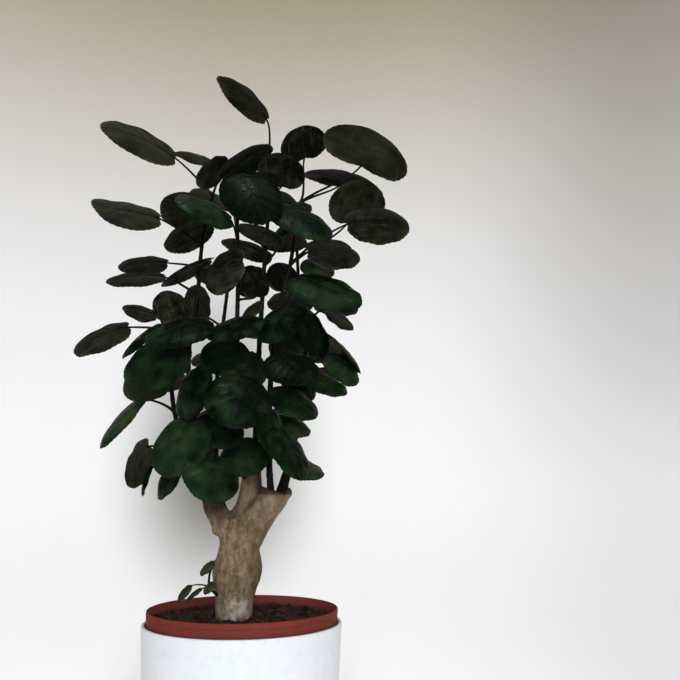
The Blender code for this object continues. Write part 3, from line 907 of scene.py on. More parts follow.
def carried_out(piece: Object) -> Mesh:
    """The mesh that a piece has once its modifiers are carried out."""
    graph = bpy.context.evaluated_depsgraph_get()
    return bpy.data.meshes.new_from_object(piece.evaluated_get(graph), depsgraph=graph)


def hand_in(piece: Object, node: str) -> None:
    """Says what a piece is: the node it stands for and the body that it rides on.

    Args:
        piece: The piece.
        node: The CAD node that it replaces.
    """
    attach(piece, ROOT_BODY)
    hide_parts(node)
    LOG.info("%s replaces %s: %d faces", piece.name, node, len(piece.data.polygons))


def outward(points: Array, triangles: Array) -> Array:
    """Turns a closed shape's triangles to face outwards.

    Args:
        points: The shape's points.
        triangles: Its triangles, which all face the same way.

    Returns:
        The triangles, turned round where they faced inwards.
    """
    corners = points[triangles] - points.mean(axis=0)
    volume = np.einsum("ij,ij->i", corners[:, 0], np.cross(corners[:, 1], corners[:, 2])).sum()
    return triangles if volume > 0 else triangles[:, ::-1]


def around(count: int) -> Array:
    """This many angles evenly round a circle, from 0."""
    return math.tau * np.arange(count) / count


def unit(vectors: Array) -> Array:
    """Vectors of length 1 in the same directions."""
    return vectors / np.maximum(np.linalg.norm(vectors, axis=-1, keepdims=True), 1e-9)


def ring_triangles(rings: int, sides: int) -> Array:
    """The triangles between rings of points that follow each other.

    Args:
        rings: How many rings there are.
        sides: How many points each ring has.

    Returns:
        The triangles' point numbers.
    """
    low = np.arange(rings - 1)[:, None] * sides
    k = np.arange(sides)[None, :]
    n = (k + 1) % sides
    a, b, c, d = low + k, low + n, low + sides + n, low + sides + k
    return np.concatenate([np.stack([a, b, c], -1).reshape(-1, 3), np.stack([a, c, d], -1).reshape(-1, 3)])


def capped(rings: Array) -> Shape:
    """A closed shape through rings of points, with a fan to a middle point at each end.

    Args:
        rings: The points, as rings by sides by 3.

    Returns:
        The shape's points and its outward triangles.
    """
    count, sides, _ = rings.shape
    ends = [rings[0].mean(axis=0), rings[-1].mean(axis=0)]
    points = np.concatenate([rings.reshape(-1, 3), ends])
    k = np.arange(sides)
    n = (k + 1) % sides
    last = (count - 1) * sides
    first_fan = np.stack([n, k, np.full(sides, count * sides)], -1)
    last_fan = np.stack([last + k, last + n, np.full(sides, count * sides + 1)], -1)
    triangles = np.concatenate([ring_triangles(count, sides), first_fan, last_fan])
    return points, outward(points, triangles)


def tube(route: Array, radii: Array, sides: int) -> Shape:
    """A closed tube whose ring at each point lies square to its route.

    Args:
        route: The points along its middle.
        radii: The radius at each point.
        sides: How many sides it has.

    Returns:
        The tube's points and its outward triangles.
    """
    ahead = unit(np.diff(route, axis=0))
    facing = unit(np.concatenate([ahead[:1], ahead[:-1] + ahead[1:], ahead[-1:]]))
    axis = np.eye(3)[np.argmin(np.abs(facing[0]))]
    angles = around(sides)
    rings = []
    side = unit(np.cross(facing[0], axis))
    for middle, along, radius in zip(route, facing, radii):
        side = unit(side - along * side.dot(along))
        other = np.cross(along, side)
        rings.append(middle + radius * (np.cos(angles)[:, None] * side + np.sin(angles)[:, None] * other))
    return capped(np.array(rings))


def tube_readings(rows: Array, sides: int) -> Array:
    """The reading at each point of a tube, from one row for each of its rings."""
    readings = np.repeat(rows, sides, axis=0)
    return np.concatenate([readings, readings[:1], readings[-1:]])


def smooth_route(knots: Sequence[Point], step: float) -> Array:
    """Points about this far apart along the smooth curve through the given ones.

    Args:
        knots: The points that the curve passes.
        step: The distance between the points returned.

    Returns:
        The points, one row each.
    """
    given = np.array(knots, float)
    given = np.concatenate([[2 * given[0] - given[1]], given, [2 * given[-1] - given[-2]]])
    route = [given[1]]
    for before, a, b, after in zip(given, given[1:], given[2:], given[3:]):
        count = max(1, round(float(np.linalg.norm(b - a)) / step))
        for t in np.arange(1, count + 1) / count:
            route.append(0.5 * (2 * a + (b - before) * t + (2 * before - 5 * a + 4 * b - after) * t ** 2
                                + (3 * a - before - 3 * b + after) * t ** 3))
    return np.array(route)


def about_z(profile: Sequence[Span], sides: int) -> Array:
    """A profile's (radius, height) points turned about Z, as rings by sides by 3."""
    return np.array([[(r * math.cos(a), r * math.sin(a), z) for a in around(sides)] for r, z in profile])


def turned(profile: Sequence[Span], sides: int) -> Shape:
    """A closed solid turned about Z.

    Args:
        profile: (radius, height) points from the middle of one end round to the middle of the other.
        sides: How many sides it has.

    Returns:
        The solid's points and its outward triangles.
    """
    return capped(about_z(profile, sides))


def rounded(corners: Sequence[Point], steps: int) -> list[Span]:
    """A profile whose corners are rounded off.

    Args:
        corners: (radius from the axis, height, rounding radius) of each corner.
        steps: How many steps a rounding has.

    Returns:
        The (radius, height) points of the profile.
    """
    profile: list[Span] = []
    for i, (x, z, rounding) in enumerate(corners):
        if rounding == 0 or i in (0, len(corners) - 1):
            profile.append((x, z))
            continue
        here = np.array([x, z])
        before = unit(np.array(corners[i - 1][:2]) - here)
        after = unit(np.array(corners[i + 1][:2]) - here)
        half = math.acos(float(np.clip(before.dot(after), -1, 1))) / 2
        reach = rounding / math.tan(half)
        start, end = here + before * reach, here + after * reach
        for t in np.arange(steps + 1) / steps:
            point = (1 - t) ** 2 * start + 2 * t * (1 - t) * here + t ** 2 * end
            profile.append((float(point[0]), float(point[1])))
    return profile


@dataclass(frozen=True)
class VeinPattern:
    """Where a blade's side veins leave the midrib, in shares of its length, and how they lean to the tip."""

    spacing: float = 0.15
    lean: float = 0.03
    spread: float = 0.63
    edge: float = 0.86
    first: int = 1
    last: int = 5

    def root_of(self, share: Array, side: Array) -> Array:
        """Where the vein through each point of the blade left the midrib.

        Args:
            share: Shares of the blade's length.
            side: Sides from -1 to 1.

        Returns:
            Shares of the length.
        """
        away = np.abs(side)
        return (share - self.lean * away) / (1 + self.spread * away)

    def along(self, number: int, side: Array) -> Array:
        """The share of the length at each side along one vein.

        Args:
            number: The vein, counted from the base.
            side: Sides from -1 to 1.

        Returns:
            Shares of the length.
        """
        root = number * self.spacing
        return root + np.abs(side) * (self.lean + self.spread * root)

    def reach(self, number: int) -> float:
        """How far to the side one vein runs before it nears the rim.

        Args:
            number: The vein, counted from the base.

        Returns:
            The side that it ends at.
        """
        side = np.linspace(0, 1, 101)
        inside = (2 * self.along(number, side) - 1) ** 2 + side ** 2 < self.edge ** 2
        return float(side[inside].max())


VEINS = VeinPattern()


@dataclass(frozen=True)
class BladeForm:
    """What all blades share: their bends in shares of length or width, their outline, and their mesh."""

    camber: float = 0.07
    cup: float = 0.10
    ripple: float = 0.012
    ripple_waves: float = 2.5
    curl_start: float = 0.5
    rim_roll: float = 0.9
    frill: float = 0.30
    frill_waves: int = 9
    notch: float = 0.06
    notch_breadth: float = 0.22
    teeth: int = 32
    tooth_depth: float = 0.016
    egg: float = 0.05
    coarse_sides: int = 64
    coarse_rings: tuple[float, ...] = (0.12, 0.24, 0.36, 0.48, 0.60, 0.72)
    fine_rings: tuple[float, ...] = (0.82, 0.90, 0.96, 1.0)
    thickness: float = 0.8
    rim_thickness: float = 0.5
    quilt: float = 0.45
    groove: float = 0.5
    groove_breadth: float = 0.06
    size: float = 1.015
    bend: Span = (0.006, 0.016)
    bend_waves: tuple[int, int] = (3, 7)
    fine_bend: float = 0.6

    def lift(self, leaf: "Leaf", share: Array, side: Array, wave: float) -> Array:
        """How far the blade stands off the plane of its midrib's ends, as in the CAD model.

        Args:
            leaf: The leaf.
            share: Shares of the blade's length.
            side: Sides from -1 to 1.
            wave: Where its ripple starts.

        Returns:
            The lifts in millimetres.
        """
        arch = 4 * self.camber * leaf.length * share * (1 - share)
        waves = np.sin(math.tau * self.ripple_waves * share + wave)
        ripple = self.ripple * leaf.width * side ** 2 * waves
        past = np.clip((share - self.curl_start) / (1 - self.curl_start), 0, None)
        return arch - self.cup * leaf.width * side ** 2 + ripple + leaf.curl * leaf.length * past ** 2

    def detail(self, share: Array, side: Array, wave: float) -> Array:
        """The puffing of the blade between its veins, the groove of its midrib and the roll of its rim.

        Args:
            share: Shares of the blade's length.
            side: Sides from -1 to 1.
            wave: Where the frill of its rim starts.

        Returns:
            The extra lifts in millimetres.
        """
        out = (2 * share - 1) ** 2 + side ** 2
        inner = 1 - np.clip(out, 0, 1) ** 3
        puff = np.abs(np.sin(math.pi * VEINS.root_of(share, side) / VEINS.spacing))
        angle = np.arctan2(side, 2 * share - 1)
        rim = self.frill * np.sin(self.frill_waves * angle + wave) * out ** 2 - self.rim_roll * out ** 5
        midrib = self.groove * np.exp(-(side / self.groove_breadth) ** 2)
        return inner * (self.quilt * puff - midrib) + rim

    def surface(self, leaf: "Leaf", share: Array, side: Array, wave: float,
                off: float | Array) -> Array:
        """The places of points on a blade, which narrows to its tip.

        Args:
            leaf: The leaf.
            share: Shares of the blade's length.
            side: Sides from -1 to 1 on a round blade.
            wave: Where its ripple starts.
            off: How far above the blade's middle the points lie, in millimetres.

        Returns:
            The points, one row each.
        """
        lift = self.lift(leaf, share, side, wave) + self.detail(share, side, wave)
        narrowed = side * (1 - leaf.point * np.clip(2 * share - 1, 0, 1) ** 2)
        return leaf.at(share, narrowed, lift + off)

    def sheet(self, draw: np.random.Generator) -> tuple[Array, Array, Array]:
        """One blade's grid of (share, side), with a toothed rim of its own.

        Args:
            draw: The source of its small differences.

        Returns:
            The shares, the sides, and how near each point is to the rim, from 0 to 1.
        """
        shares, sides, nearness = [np.array([0.5])], [np.array([0.0])], [np.array([0.0])]
        turn, bend = draw.uniform(0, math.tau), draw.uniform(*self.bend)
        slow, fast = self.bend_waves
        for ring in (*self.coarse_rings, *self.fine_rings):
            count = self.coarse_sides if ring in self.coarse_rings else 2 * self.coarse_sides
            angle = around(count)
            tooth = 1 - np.abs(np.sin(self.teeth * angle / 2))
            uneven = bend * np.sin(slow * angle + turn)
            uneven += self.fine_bend * bend * np.sin(fast * angle + 2 * turn)
            scale = ring * (self.size + uneven * ring ** 2 - self.tooth_depth * tooth * ring ** 12)
            off = (angle - math.pi) / self.notch_breadth
            notch = self.notch * ring ** 3 * np.exp(-off ** 2)
            shares.append(0.5 + 0.5 * scale * np.cos(angle) + notch)
            sides.append(scale * np.sin(angle) * (1 - self.egg * np.cos(angle)))
            nearness.append(np.full(count, ring))
        return np.concatenate(shares), np.concatenate(sides), np.concatenate(nearness)

    def triangles(self) -> Array:
        """The triangles of one face of the sheet.

        Returns:
            The point numbers of each.
        """
        n = self.coarse_sides
        k = np.arange(n)
        following = (k + 1) % n
        faces = [np.stack([np.zeros(n, int), 1 + k, 1 + following], -1)]
        faces.append(ring_triangles(len(self.coarse_rings), n) + 1)
        last = 1 + (len(self.coarse_rings) - 1) * n
        outer = 1 + len(self.coarse_rings) * n
        a, b = last + k, last + following
        p, q, r = outer + 2 * k, outer + 2 * k + 1, outer + (2 * k + 2) % (2 * n)
        faces += [np.stack([a, p, q], -1), np.stack([a, q, b], -1), np.stack([b, q, r], -1)]
        faces.append(ring_triangles(len(self.fine_rings), 2 * n) + outer)
        return np.concatenate(faces)


BLADE = BladeForm()
BLADE_TRIANGLES = BLADE.triangles()


@dataclass(frozen=True)
class Leaf:
    """A blade: where its stalk meets it, its tip, its width, its roll about its midrib in degrees, its tone.

    Tone is how pale it is: 0 or less for an old dark leaf, about 1 for a pale one, and more for a young one.
    Besides age, it holds painted light and shade: each leaf is made paler or darker to look as lit or as
    shaded as it should where it hangs.
    At point 0 its tip is round, and it is narrower the larger point is. Curl lifts the tip by that share of
    the length.
    """

    base: Point
    tip: Point
    width: float
    roll: float
    tone: float = 0.5
    point: float = 0.0
    curl: float = 0.0

    @property
    def length(self) -> float:
        """The distance from base to tip."""
        return float(np.linalg.norm(np.subtract(self.tip, self.base)))

    def axes(self) -> tuple[Array, Array, Array]:
        """The blade's direction from stalk to tip, its sideways direction and its upward normal.

        Returns:
            The three directions.
        """
        along = unit(np.subtract(self.tip, self.base))
        level = unit(np.array([-along[1], along[0], 0.0]))
        upright = np.cross(along, level)
        turn = math.radians(self.roll)
        sideways = level * math.cos(turn) + upright * math.sin(turn)
        return along, sideways, upright * math.cos(turn) - level * math.sin(turn)

    def at(self, share: Array, side: Array, lift: Array) -> Array:
        """The places of points on the blade.

        Args:
            share: Shares of the blade's length.
            side: Sides from -1 to 1.
            lift: How far each stands off the plane of the midrib's ends.

        Returns:
            The points, one row each.
        """
        along, sideways, upward = self.axes()
        return (np.array(self.base) + np.multiply.outer(share * self.length, along)
                + np.multiply.outer(side * self.width / 2, sideways) + np.multiply.outer(lift, upward))


@dataclass(frozen=True)
class Shoot:
    """A leafy stem: its radii at foot and top, the points from one to the other, and its leaves."""

    foot_radius: float
    top_radius: float
    points: tuple[Point, ...]
    leaves: tuple[Leaf, ...]


# The fifth number of a Leaf, where given, is its tone: its age together with painted light and shade.
SHOOTS: dict[str, Shoot] = {
    "leafy_stem_left_tall": Shoot(3.2, 1.8, (
        (-31, 4, 280), (-48, 5, 330), (-64, 8, 390), (-67, 8, 445), (-60, 6, 500), (-57, 4, 557),
        (-53, 12, 595), (-50, 20, 625),
    ), (
        Leaf((-89, 10, 663), (-172, -15, 693), 60, 5, 0.95),
        Leaf((-50, 45, 674), (-99, 28, 682), 48, -15, 0.8),
        Leaf((-50, 5, 591), (-100, -15, 601), 63, 20, 0.65),
        Leaf((-44, 15, 588), (-97, -5, 555), 57, 20, 0.3),
        Leaf((-40, 43, 615), (-79, 28, 631), 54, 10, 2.0),
        Leaf((-102, 5, 589), (-177, -15, 592), 66, 5, 1.0, curl=0.13),
        Leaf((-96, 20, 543), (-149, 5, 534), 54, 5, 0.2),
        Leaf((-93, 0, 521), (-155, -15, 511), 52, 0, 0.75),
        Leaf((-40, -10, 538), (-93, -25, 504), 52, 0, 0.35),
        Leaf((-57, 10, 470), (-57, -5, 510), 50, -45, 0.7),
        Leaf((-105, 20, 480), (-141, 5, 488), 46, 5, 0.35),
    )),
    "leafy_stem_left_low": Shoot(3.0, 1.8, (
        (-37, -3, 280), (-58, -12, 320), (-74, -18, 370), (-80, -22, 420), (-80, -24, 450),
    ), (
        Leaf((-75, -10, 465), (-85, -35, 495), 46, 0, 0.0),
        Leaf((-119, -35, 458), (-171, -50, 427), 52, 15, 0.75),
        Leaf((-90, -30, 462), (-125, -40, 423), 46, -15, 0.4),
        Leaf((-30, -75, 455), (-85, -100, 425), 64, -30, -0.05),
        Leaf((-69, -60, 441), (-96, -85, 383), 71, -25, 0.65),
        Leaf((-87, -30, 422), (-111, -45, 379), 60, -35, 1.5),
        Leaf((-104, -30, 386), (-136, -55, 331), 50, 2, 1.05),
        Leaf((-45, -65, 410), (-45, -85, 355), 52, 40, 0.05),
        Leaf((-48, -75, 360), (-58, -95, 302), 61, -5, 0.82),
        Leaf((-96, -25, 338), (-112, -45, 296), 54, 60, 1.5),
        Leaf((-66, -50, 323), (-74, -60, 282), 57, 20, 0.7),
        Leaf((-95, -20, 315), (-100, -30, 285), 28, 45),
        Leaf((-25, -80, 325), (-15, -110, 280), 54, -10, 0.8),
    )),
    "leafy_stem_middle_tall": Shoot(3.4, 1.6, (
        (7, 4, 312), (8, 4, 345), (9, 5, 428), (12, 4, 505), (14, 6, 560), (18, 10, 620), (22, 12, 655),
    ), (
        Leaf((13, 15, 714), (-43, -15, 754), 46, 0, 0.68, point=0.35),
        Leaf((32, 10, 628), (32, -30, 653), 54, -10, 0.3),
        Leaf((35, -20, 554), (-11, -40, 566), 52, -5, 0.15),
        Leaf((20, 40, 555), (-38, 25, 571), 54, 0, 0.3),
        Leaf((47, -40, 480), (26, -62, 434), 54, -15, 0.32),
        Leaf((19, 50, 645), (22, 105, 635), 52, 10, 0.35),
    )),
    "leafy_stem_middle_front": Shoot(3.0, 1.8, (
        (0, 0, 300), (-12, -14, 350), (-13, -14, 420), (-13, -12, 490), (-15, -10, 550), (-18, -4, 610),
    ), (
        Leaf((-31, 0, 651), (-61, -25, 626), 44, 35, 0.65),
        Leaf((-40, 5, 636), (20, -22, 666), 50, 5, -0.15),
        Leaf((-15, -25, 635), (20, -60, 560), 64, 35, -0.35),
        Leaf((-15, -40, 570), (-70, -75, 580), 54, -50, 0.75),
        Leaf((0, -60, 520), (-35, -85, 490), 52, 45, 0.05),
        Leaf((15, -45, 465), (-30, -75, 435), 52, -25, 0.2),
        Leaf((15, -20, 485), (-5, -30, 470), 32, 20, 1.15),
        Leaf((8, -14, 492), (2, -34, 516), 36, 0, 0.0),
        Leaf((-15, -5, 450), (-35, -20, 410), 56, -45, 0.7),
        Leaf((5, -80, 400), (0, -120, 345), 62, -20, 0.05),
        Leaf((-29, -45, 368), (-12, -62, 330), 51, 15, 0.7),
        Leaf((12, -15, 342), (-15, -32, 307), 55, -35, 0.95),
    )),
    "leafy_stem_right_tall": Shoot(3.4, 1.8, (
        (26, -3, 283), (23, -4, 330), (23, -2, 400), (26, -2, 450), (34, -2, 500), (42, 2, 535),
        (46, 8, 575), (48, 16, 610),
    ), (
        Leaf((57, 20, 668), (53, -20, 690), 54, 20, -0.05),
        Leaf((120, -10, 643), (132, -70, 659), 98, -25, 0.85),
        Leaf((95, 5, 627), (110, -55, 618), 88, -11, 0.0),
        Leaf((106, -10, 576), (124, -50, 612), 62, -5, 0.65),
        Leaf((102, -25, 573), (170, -40, 565), 68, -15, 0.55),
        Leaf((25, -20, 598), (83, -56, 543), 56, 30, 0.55),
        Leaf((35, 0, 595), (65, -10, 600), 32, -5, 1.5),
        Leaf((59, -15, 545), (118, -25, 535), 56, -15, 0.7),
        Leaf((50, -50, 507), (115, -75, 467), 68, 35, 0.1),
        Leaf((35, -60, 425), (65, -85, 390), 58, 25, -0.25),
        Leaf((40, -40, 395), (65, -62, 358), 58, 5, 0.65),
        Leaf((31, -25, 367), (61, -42, 343), 52, 15, 1.3),
        Leaf((38, -75, 350), (61, -100, 300), 46, -5, 0.5),
        Leaf((30, -50, 370), (35, -70, 320), 52, -45, 0.7),
        Leaf((39, 28, 512), (27, 10, 540), 44, 0, -0.5),
        Leaf((44, 38, 606), (26, 22, 574), 44, 0),
    )),
    "leafy_stem_right_low": Shoot(2.8, 1.8, (
        (38, 1, 285), (48, 4, 330), (54, 6, 390), (60, 6, 440), (62, 6, 470),
    ), (
        Leaf((56, -17, 485), (73, -40, 425), 60, -10, -0.15),
        Leaf((77, 22, 491), (112, 10, 467), 47, -15, 1.0),
        Leaf((79, 0, 457), (119, -15, 413), 44, -16, 1.4),
        Leaf((89, 5, 438), (109, -15, 398), 44, 5, 1.15),
        Leaf((70, -20, 410), (100, -35, 385), 44, 20, 0.75),
        Leaf((49, -15, 323), (75, -30, 302), 53, 10, 1.4),
        Leaf((45, 0, 435), (60, -15, 380), 58, -5, -0.2),
    )),
    "leafy_stem_back_left": Shoot(3.0, 1.8, (
        (-23, 13, 266), (-34, 27, 300), (-40, 38, 350), (-42, 47, 420), (-37, 56, 500), (-32, 62, 560),
    ), (
        Leaf((-62, 70, 350), (-88, 110, 325), 56, 0),
        Leaf((-45, 80, 385), (-50, 135, 365), 60, 0),
        Leaf((-80, 50, 420), (-125, 75, 405), 56, 0, 0.0),
        Leaf((-50, 85, 455), (-60, 140, 440), 60, 0),
        Leaf((-75, 75, 500), (-110, 120, 490), 58, 0),
        Leaf((-22, 85, 497), (-12, 140, 482), 56, 0),
        Leaf((-48, 78, 560), (-62, 118, 545), 54, 0, 0.2),
        Leaf((-30, 62, 630), (-45, 105, 640), 52, 0),
        Leaf((-8, 36, 446), (0, 22, 402), 46, 0, 1.7),
        Leaf((-4, 64, 554), (0, 58, 520), 40, 0, 0.4),
    )),
    "leafy_stem_back_right": Shoot(3.0, 1.8, (
        (32, 6, 284), (46, 26, 340), (54, 45, 420), (50, 52, 500), (46, 55, 570),
    ), (
        Leaf((27, 60, 350), (23, 105, 335), 54, 0),
        Leaf((43, 80, 390), (37, 130, 375), 58, 0),
        Leaf((75, 60, 430), (90, 100, 420), 50, 0),
        Leaf((62, 85, 470), (66, 140, 450), 58, 0),
        Leaf((80, 70, 520), (105, 115, 505), 56, 0),
        Leaf((40, 90, 530), (30, 145, 515), 58, 0, -0.5),
        Leaf((70, 60, 585), (100, 100, 580), 54, 0),
        Leaf((30, 85, 605), (20, 135, 595), 60, 0, -0.15),
        Leaf((36, 38, 468), (38, 26, 428), 40, 0, 1.7),
        Leaf((70, 28, 552), (74, 14, 522), 40, 0, 1.4),
    )),
    "basal_sprout": Shoot(1.5, 0.9, (
        (-20, -9, 185), (-31, -17, 196), (-32, -19, 208), (-29, -19, 218),
    ), (
        Leaf((-28, -19, 222), (-41, -21, 209), 13, -30, 1.7),
        Leaf((-27, -22, 203), (-36, -25, 192), 14, -20, 1.8),
        Leaf((-50, -18, 200), (-63, -16, 182), 9, 40, 1.8, point=0.3),
        Leaf((-39, -20, 197), (-53, -26, 184), 11, 0, 1.6, point=0.2),
    )),
}


@dataclass
class LeafyStem:
    """One leafy stem with its stalks and blades, in one piece."""

    node: str
    shoot: Shoot
    seed: int
    coarse_step: float = 28.0
    fine_step: float = 2.5
    stem_sides: int = 14
    stalk_sides: int = 8
    stalk_steps: int = 14
    stalk_foot: float = 1.5
    stalk_top: float = 0.85
    stalk_rise: float = 0.55
    stalk_lean: float = 0.9
    stalk_pull: float = 0.3
    stalk_into_blade: float = 0.06
    stalk_sink: float = 0.35
    full_shoot_top: float = 1.6
    wave_step: float = 2.4
    stalk_arrival: Span = (0.6, 0.4)
    stalk_sheath: float = 0.55
    stalk_sheath_share: float = 14.0
    stalk_swelling: float = 0.35
    stalk_swelling_share: float = 12.0
    bud_reaches: tuple[float, ...] = (1.2, 2.6, 4.0, 5.2)
    bud_swellings: tuple[float, ...] = (1.25, 1.1, 0.7, 0.25)
    first_scar: float = 8.0
    scar_spacing: float = 13.0
    scar_shift: float = 3.0
    scar_swelling: float = 0.13
    scar_breadth: float = 1.3
    foot_swelling: float = 0.35
    foot_swelling_length: float = 6.0
    rib_end: float = 0.93
    rib_points: int = 12
    rib_sides: int = 6
    rib_radii: Span = (0.85, 0.25)
    vein_points: int = 6
    vein_sides: int = 4
    vein_radii: Span = (0.45, 0.14)
    vein_sink: float = 0.8
    full_vein_width: float = 45.0
    sharp: float = 50.0
    tone_spread: float = 0.04
    draft: Draft = field(default_factory=Draft)

    def build(self, finishes: Sequence[Material]) -> Object:
        """Builds the stem, its stalks and its blades.

        Args:
            finishes: The materials of the leaf's two faces, the stalks and the stem.

        Returns:
            The piece, which replaces its node.
        """
        draw = np.random.default_rng(self.seed)
        coarse = smooth_route(self.shoot.points, self.coarse_step)
        self._stem(draw)
        for number, leaf in enumerate(self.shoot.leaves):
            wave = self.wave_step * number
            tone = leaf.tone + float(draw.uniform(-self.tone_spread, self.tone_spread))
            self._stalk(leaf, coarse, tone)
            self._blade(leaf, wave, tone, draw)
            self._veins(leaf, wave, tone)
        piece = self.draft.object(self.node + "_foliage", finishes, self.sharp)
        hand_in(piece, self.node)
        return piece

    def _stem(self, draw: np.random.Generator) -> None:
        """Adds the stem, with rings where old leaves sat and a bud at its top.

        Args:
            draw: The source of its small differences.
        """
        route = smooth_route(self.shoot.points, self.fine_step)
        ahead = unit(route[-1] - route[-2])
        bud = [route[-1] + ahead * reach for reach in self.bud_reaches]
        route = np.concatenate([route, bud])
        steps = np.linalg.norm(np.diff(route, axis=0), axis=1)
        length = np.concatenate([[0.0], np.cumsum(steps)])
        share = np.clip(length / length[-1 - len(bud)], 0, 1)
        radii = self.shoot.foot_radius + (self.shoot.top_radius - self.shoot.foot_radius) * share
        shift = draw.uniform(-self.scar_shift, self.scar_shift)
        for scar in np.arange(self.first_scar, length[-1], self.scar_spacing) + shift:
            radii *= 1 + self.scar_swelling * np.exp(-((length - scar) / self.scar_breadth) ** 2)
        radii *= 1 + self.foot_swelling * np.exp(-length / self.foot_swelling_length)
        radii[-len(bud):] *= self.bud_swellings
        points, triangles = tube(route, radii, self.stem_sides)
        rows = np.stack([share, length, np.full_like(share, 0.5)], -1)
        self.draft.add(points, triangles, Part.STEM.value, tube_readings(rows, self.stem_sides))

    def _stalk(self, leaf: Leaf, coarse: Array, tone: float) -> None:
        """Adds a leaf stalk, with a sheath where it leaves the stem and a swelling under the blade.

        Args:
            leaf: The leaf that it carries.
            coarse: The stem's points that stalks may leave from, as in the CAD model.
            tone: The leaf's own tone.
        """
        along, _, upward = leaf.axes()
        base = np.array(leaf.base)
        into = BLADE.notch + self.stalk_into_blade
        lift = float(BLADE.lift(leaf, np.array(into), np.array(0.0), 0.0)) - self.stalk_sink
        end = base + into * leaf.length * along + lift * upward
        reach = np.linalg.norm(coarse[1:, :2] - base[:2], axis=1)
        start = coarse[1:][np.argmin(np.abs(base[2] - self.stalk_rise * reach - coarse[1:, 2]))]
        away = np.array([base[0] - start[0], base[1] - start[1], 0.0])
        leaving = np.array([0.0, 0.0, 1.0])
        if np.linalg.norm(away) > 1:
            leaving = unit(unit(away) + np.array([0.0, 0.0, self.stalk_lean]))
        arriving = unit(self.stalk_arrival[0] * along + self.stalk_arrival[1] * leaving)
        pull = self.stalk_pull * np.linalg.norm(end - start)
        a, b = start + pull * leaving, end - pull * arriving
        t = (np.arange(self.stalk_steps + 1) / self.stalk_steps)[:, None]
        u = 1 - t
        route = u ** 3 * start + 3 * u * u * t * a + 3 * u * t * t * b + t ** 3 * end
        size = min(1.0, self.shoot.top_radius / self.full_shoot_top)
        share = t[:, 0]
        sheath = self.stalk_sheath * np.exp(-share * self.stalk_sheath_share)
        swelling = self.stalk_swelling * np.exp(-((1 - share) * self.stalk_swelling_share) ** 2)
        radii = size * (self.stalk_foot + (self.stalk_top - self.stalk_foot) * share)
        radii = radii * (1 + sheath + swelling)
        points, triangles = tube(route, radii, self.stalk_sides)
        rows = np.stack([share, share * pull, np.full_like(share, tone)], -1)
        self.draft.add(points, triangles, Part.STALK.value, tube_readings(rows, self.stalk_sides))

    def _blade(self, leaf: Leaf, wave: float, tone: float, draw: np.random.Generator) -> None:
        """Adds a blade: two faces and the rim between them.

        Args:
            leaf: The leaf.
            wave: Where its ripple starts.
            tone: The leaf's own tone.
            draw: The source of its small differences.
        """
        share, side, nearness = BLADE.sheet(draw)
        half = BLADE.thickness / 2 + (BLADE.rim_thickness - BLADE.thickness) / 2 * nearness ** 4
        points = np.concatenate([BLADE.surface(leaf, share, side, wave, off) for off in (half, -half)])
        total = len(share)
        rim = np.arange(total - 2 * BLADE.coarse_sides, total)
        following = np.roll(rim, -1)
        triangles = np.concatenate([
            BLADE_TRIANGLES,
            np.stack([rim, rim + total, following + total], -1),
            np.stack([rim, following + total, following], -1),
            BLADE_TRIANGLES[:, ::-1] + total,
        ])
        upper = len(triangles) - len(BLADE_TRIANGLES)
        parts = np.full(len(triangles), Part.UPPER_FACE.value)
        parts[upper:] = Part.UNDER_FACE.value
        reading = np.stack([share, side, np.full_like(share, tone)], -1)
        self.draft.add(points, outward(points, triangles), parts, np.concatenate([reading, reading]))

    def _veins(self, leaf: Leaf, wave: float, tone: float) -> None:
        """Adds the midrib and the side veins that stand out of the under face.

        Args:
            leaf: The leaf.
            wave: Where its ripple starts.
            tone: The leaf's own tone.
        """
        size = min(1.0, leaf.width / self.full_vein_width)
        rib = np.linspace(BLADE.notch + self.stalk_into_blade, self.rib_end, self.rib_points)
        radii = size * np.linspace(*self.rib_radii, self.rib_points)
        self._vein(leaf, wave, tone, rib, np.zeros_like(rib), radii, self.rib_sides)
        radii = size * np.linspace(*self.vein_radii, self.vein_points)
        for number in range(VEINS.first, VEINS.last + 1):
            side = np.linspace(0.0, VEINS.reach(number), self.vein_points)
            share = VEINS.along(number, side)
            for way in (-1, 1):
                self._vein(leaf, wave, tone, share, way * side, radii, self.vein_sides)

    def _vein(self, leaf: Leaf, wave: float, tone: float, share: Array, side: Array,
              radii: Array, sides: int) -> None:
        """Adds one vein.

        Args:
            leaf: The leaf.
            wave: Where its ripple starts.
            tone: The leaf's own tone.
            share: The shares of the blade's length along the vein.
            side: The sides along the vein.
            radii: The radius at each of its points.
            sides: How many sides the vein's tube has.
        """
        route = BLADE.surface(leaf, share, side, wave, -self.vein_sink * BLADE.thickness / 2)
        points, triangles = tube(route, radii, sides)
        self.draft.add(points, triangles, Part.UNDER_FACE.value, (0.5, 0.0, tone))


@dataclass(frozen=True)
class Stub:
    """A cut branch: the points along its middle, the radius at each, and how far down it is stained."""

    points: tuple[Point, ...]
    radii: tuple[float, ...]
    stained: float = 3.5


@dataclass(frozen=True)
class Scar:
    """An oval scar on the bark, where a branch once was.

    It has a middle, half its width, how far its ring stands out, and its width over its height.
    """

    middle: Point
    radius: float
    height: float
    flatness: float = 1.35


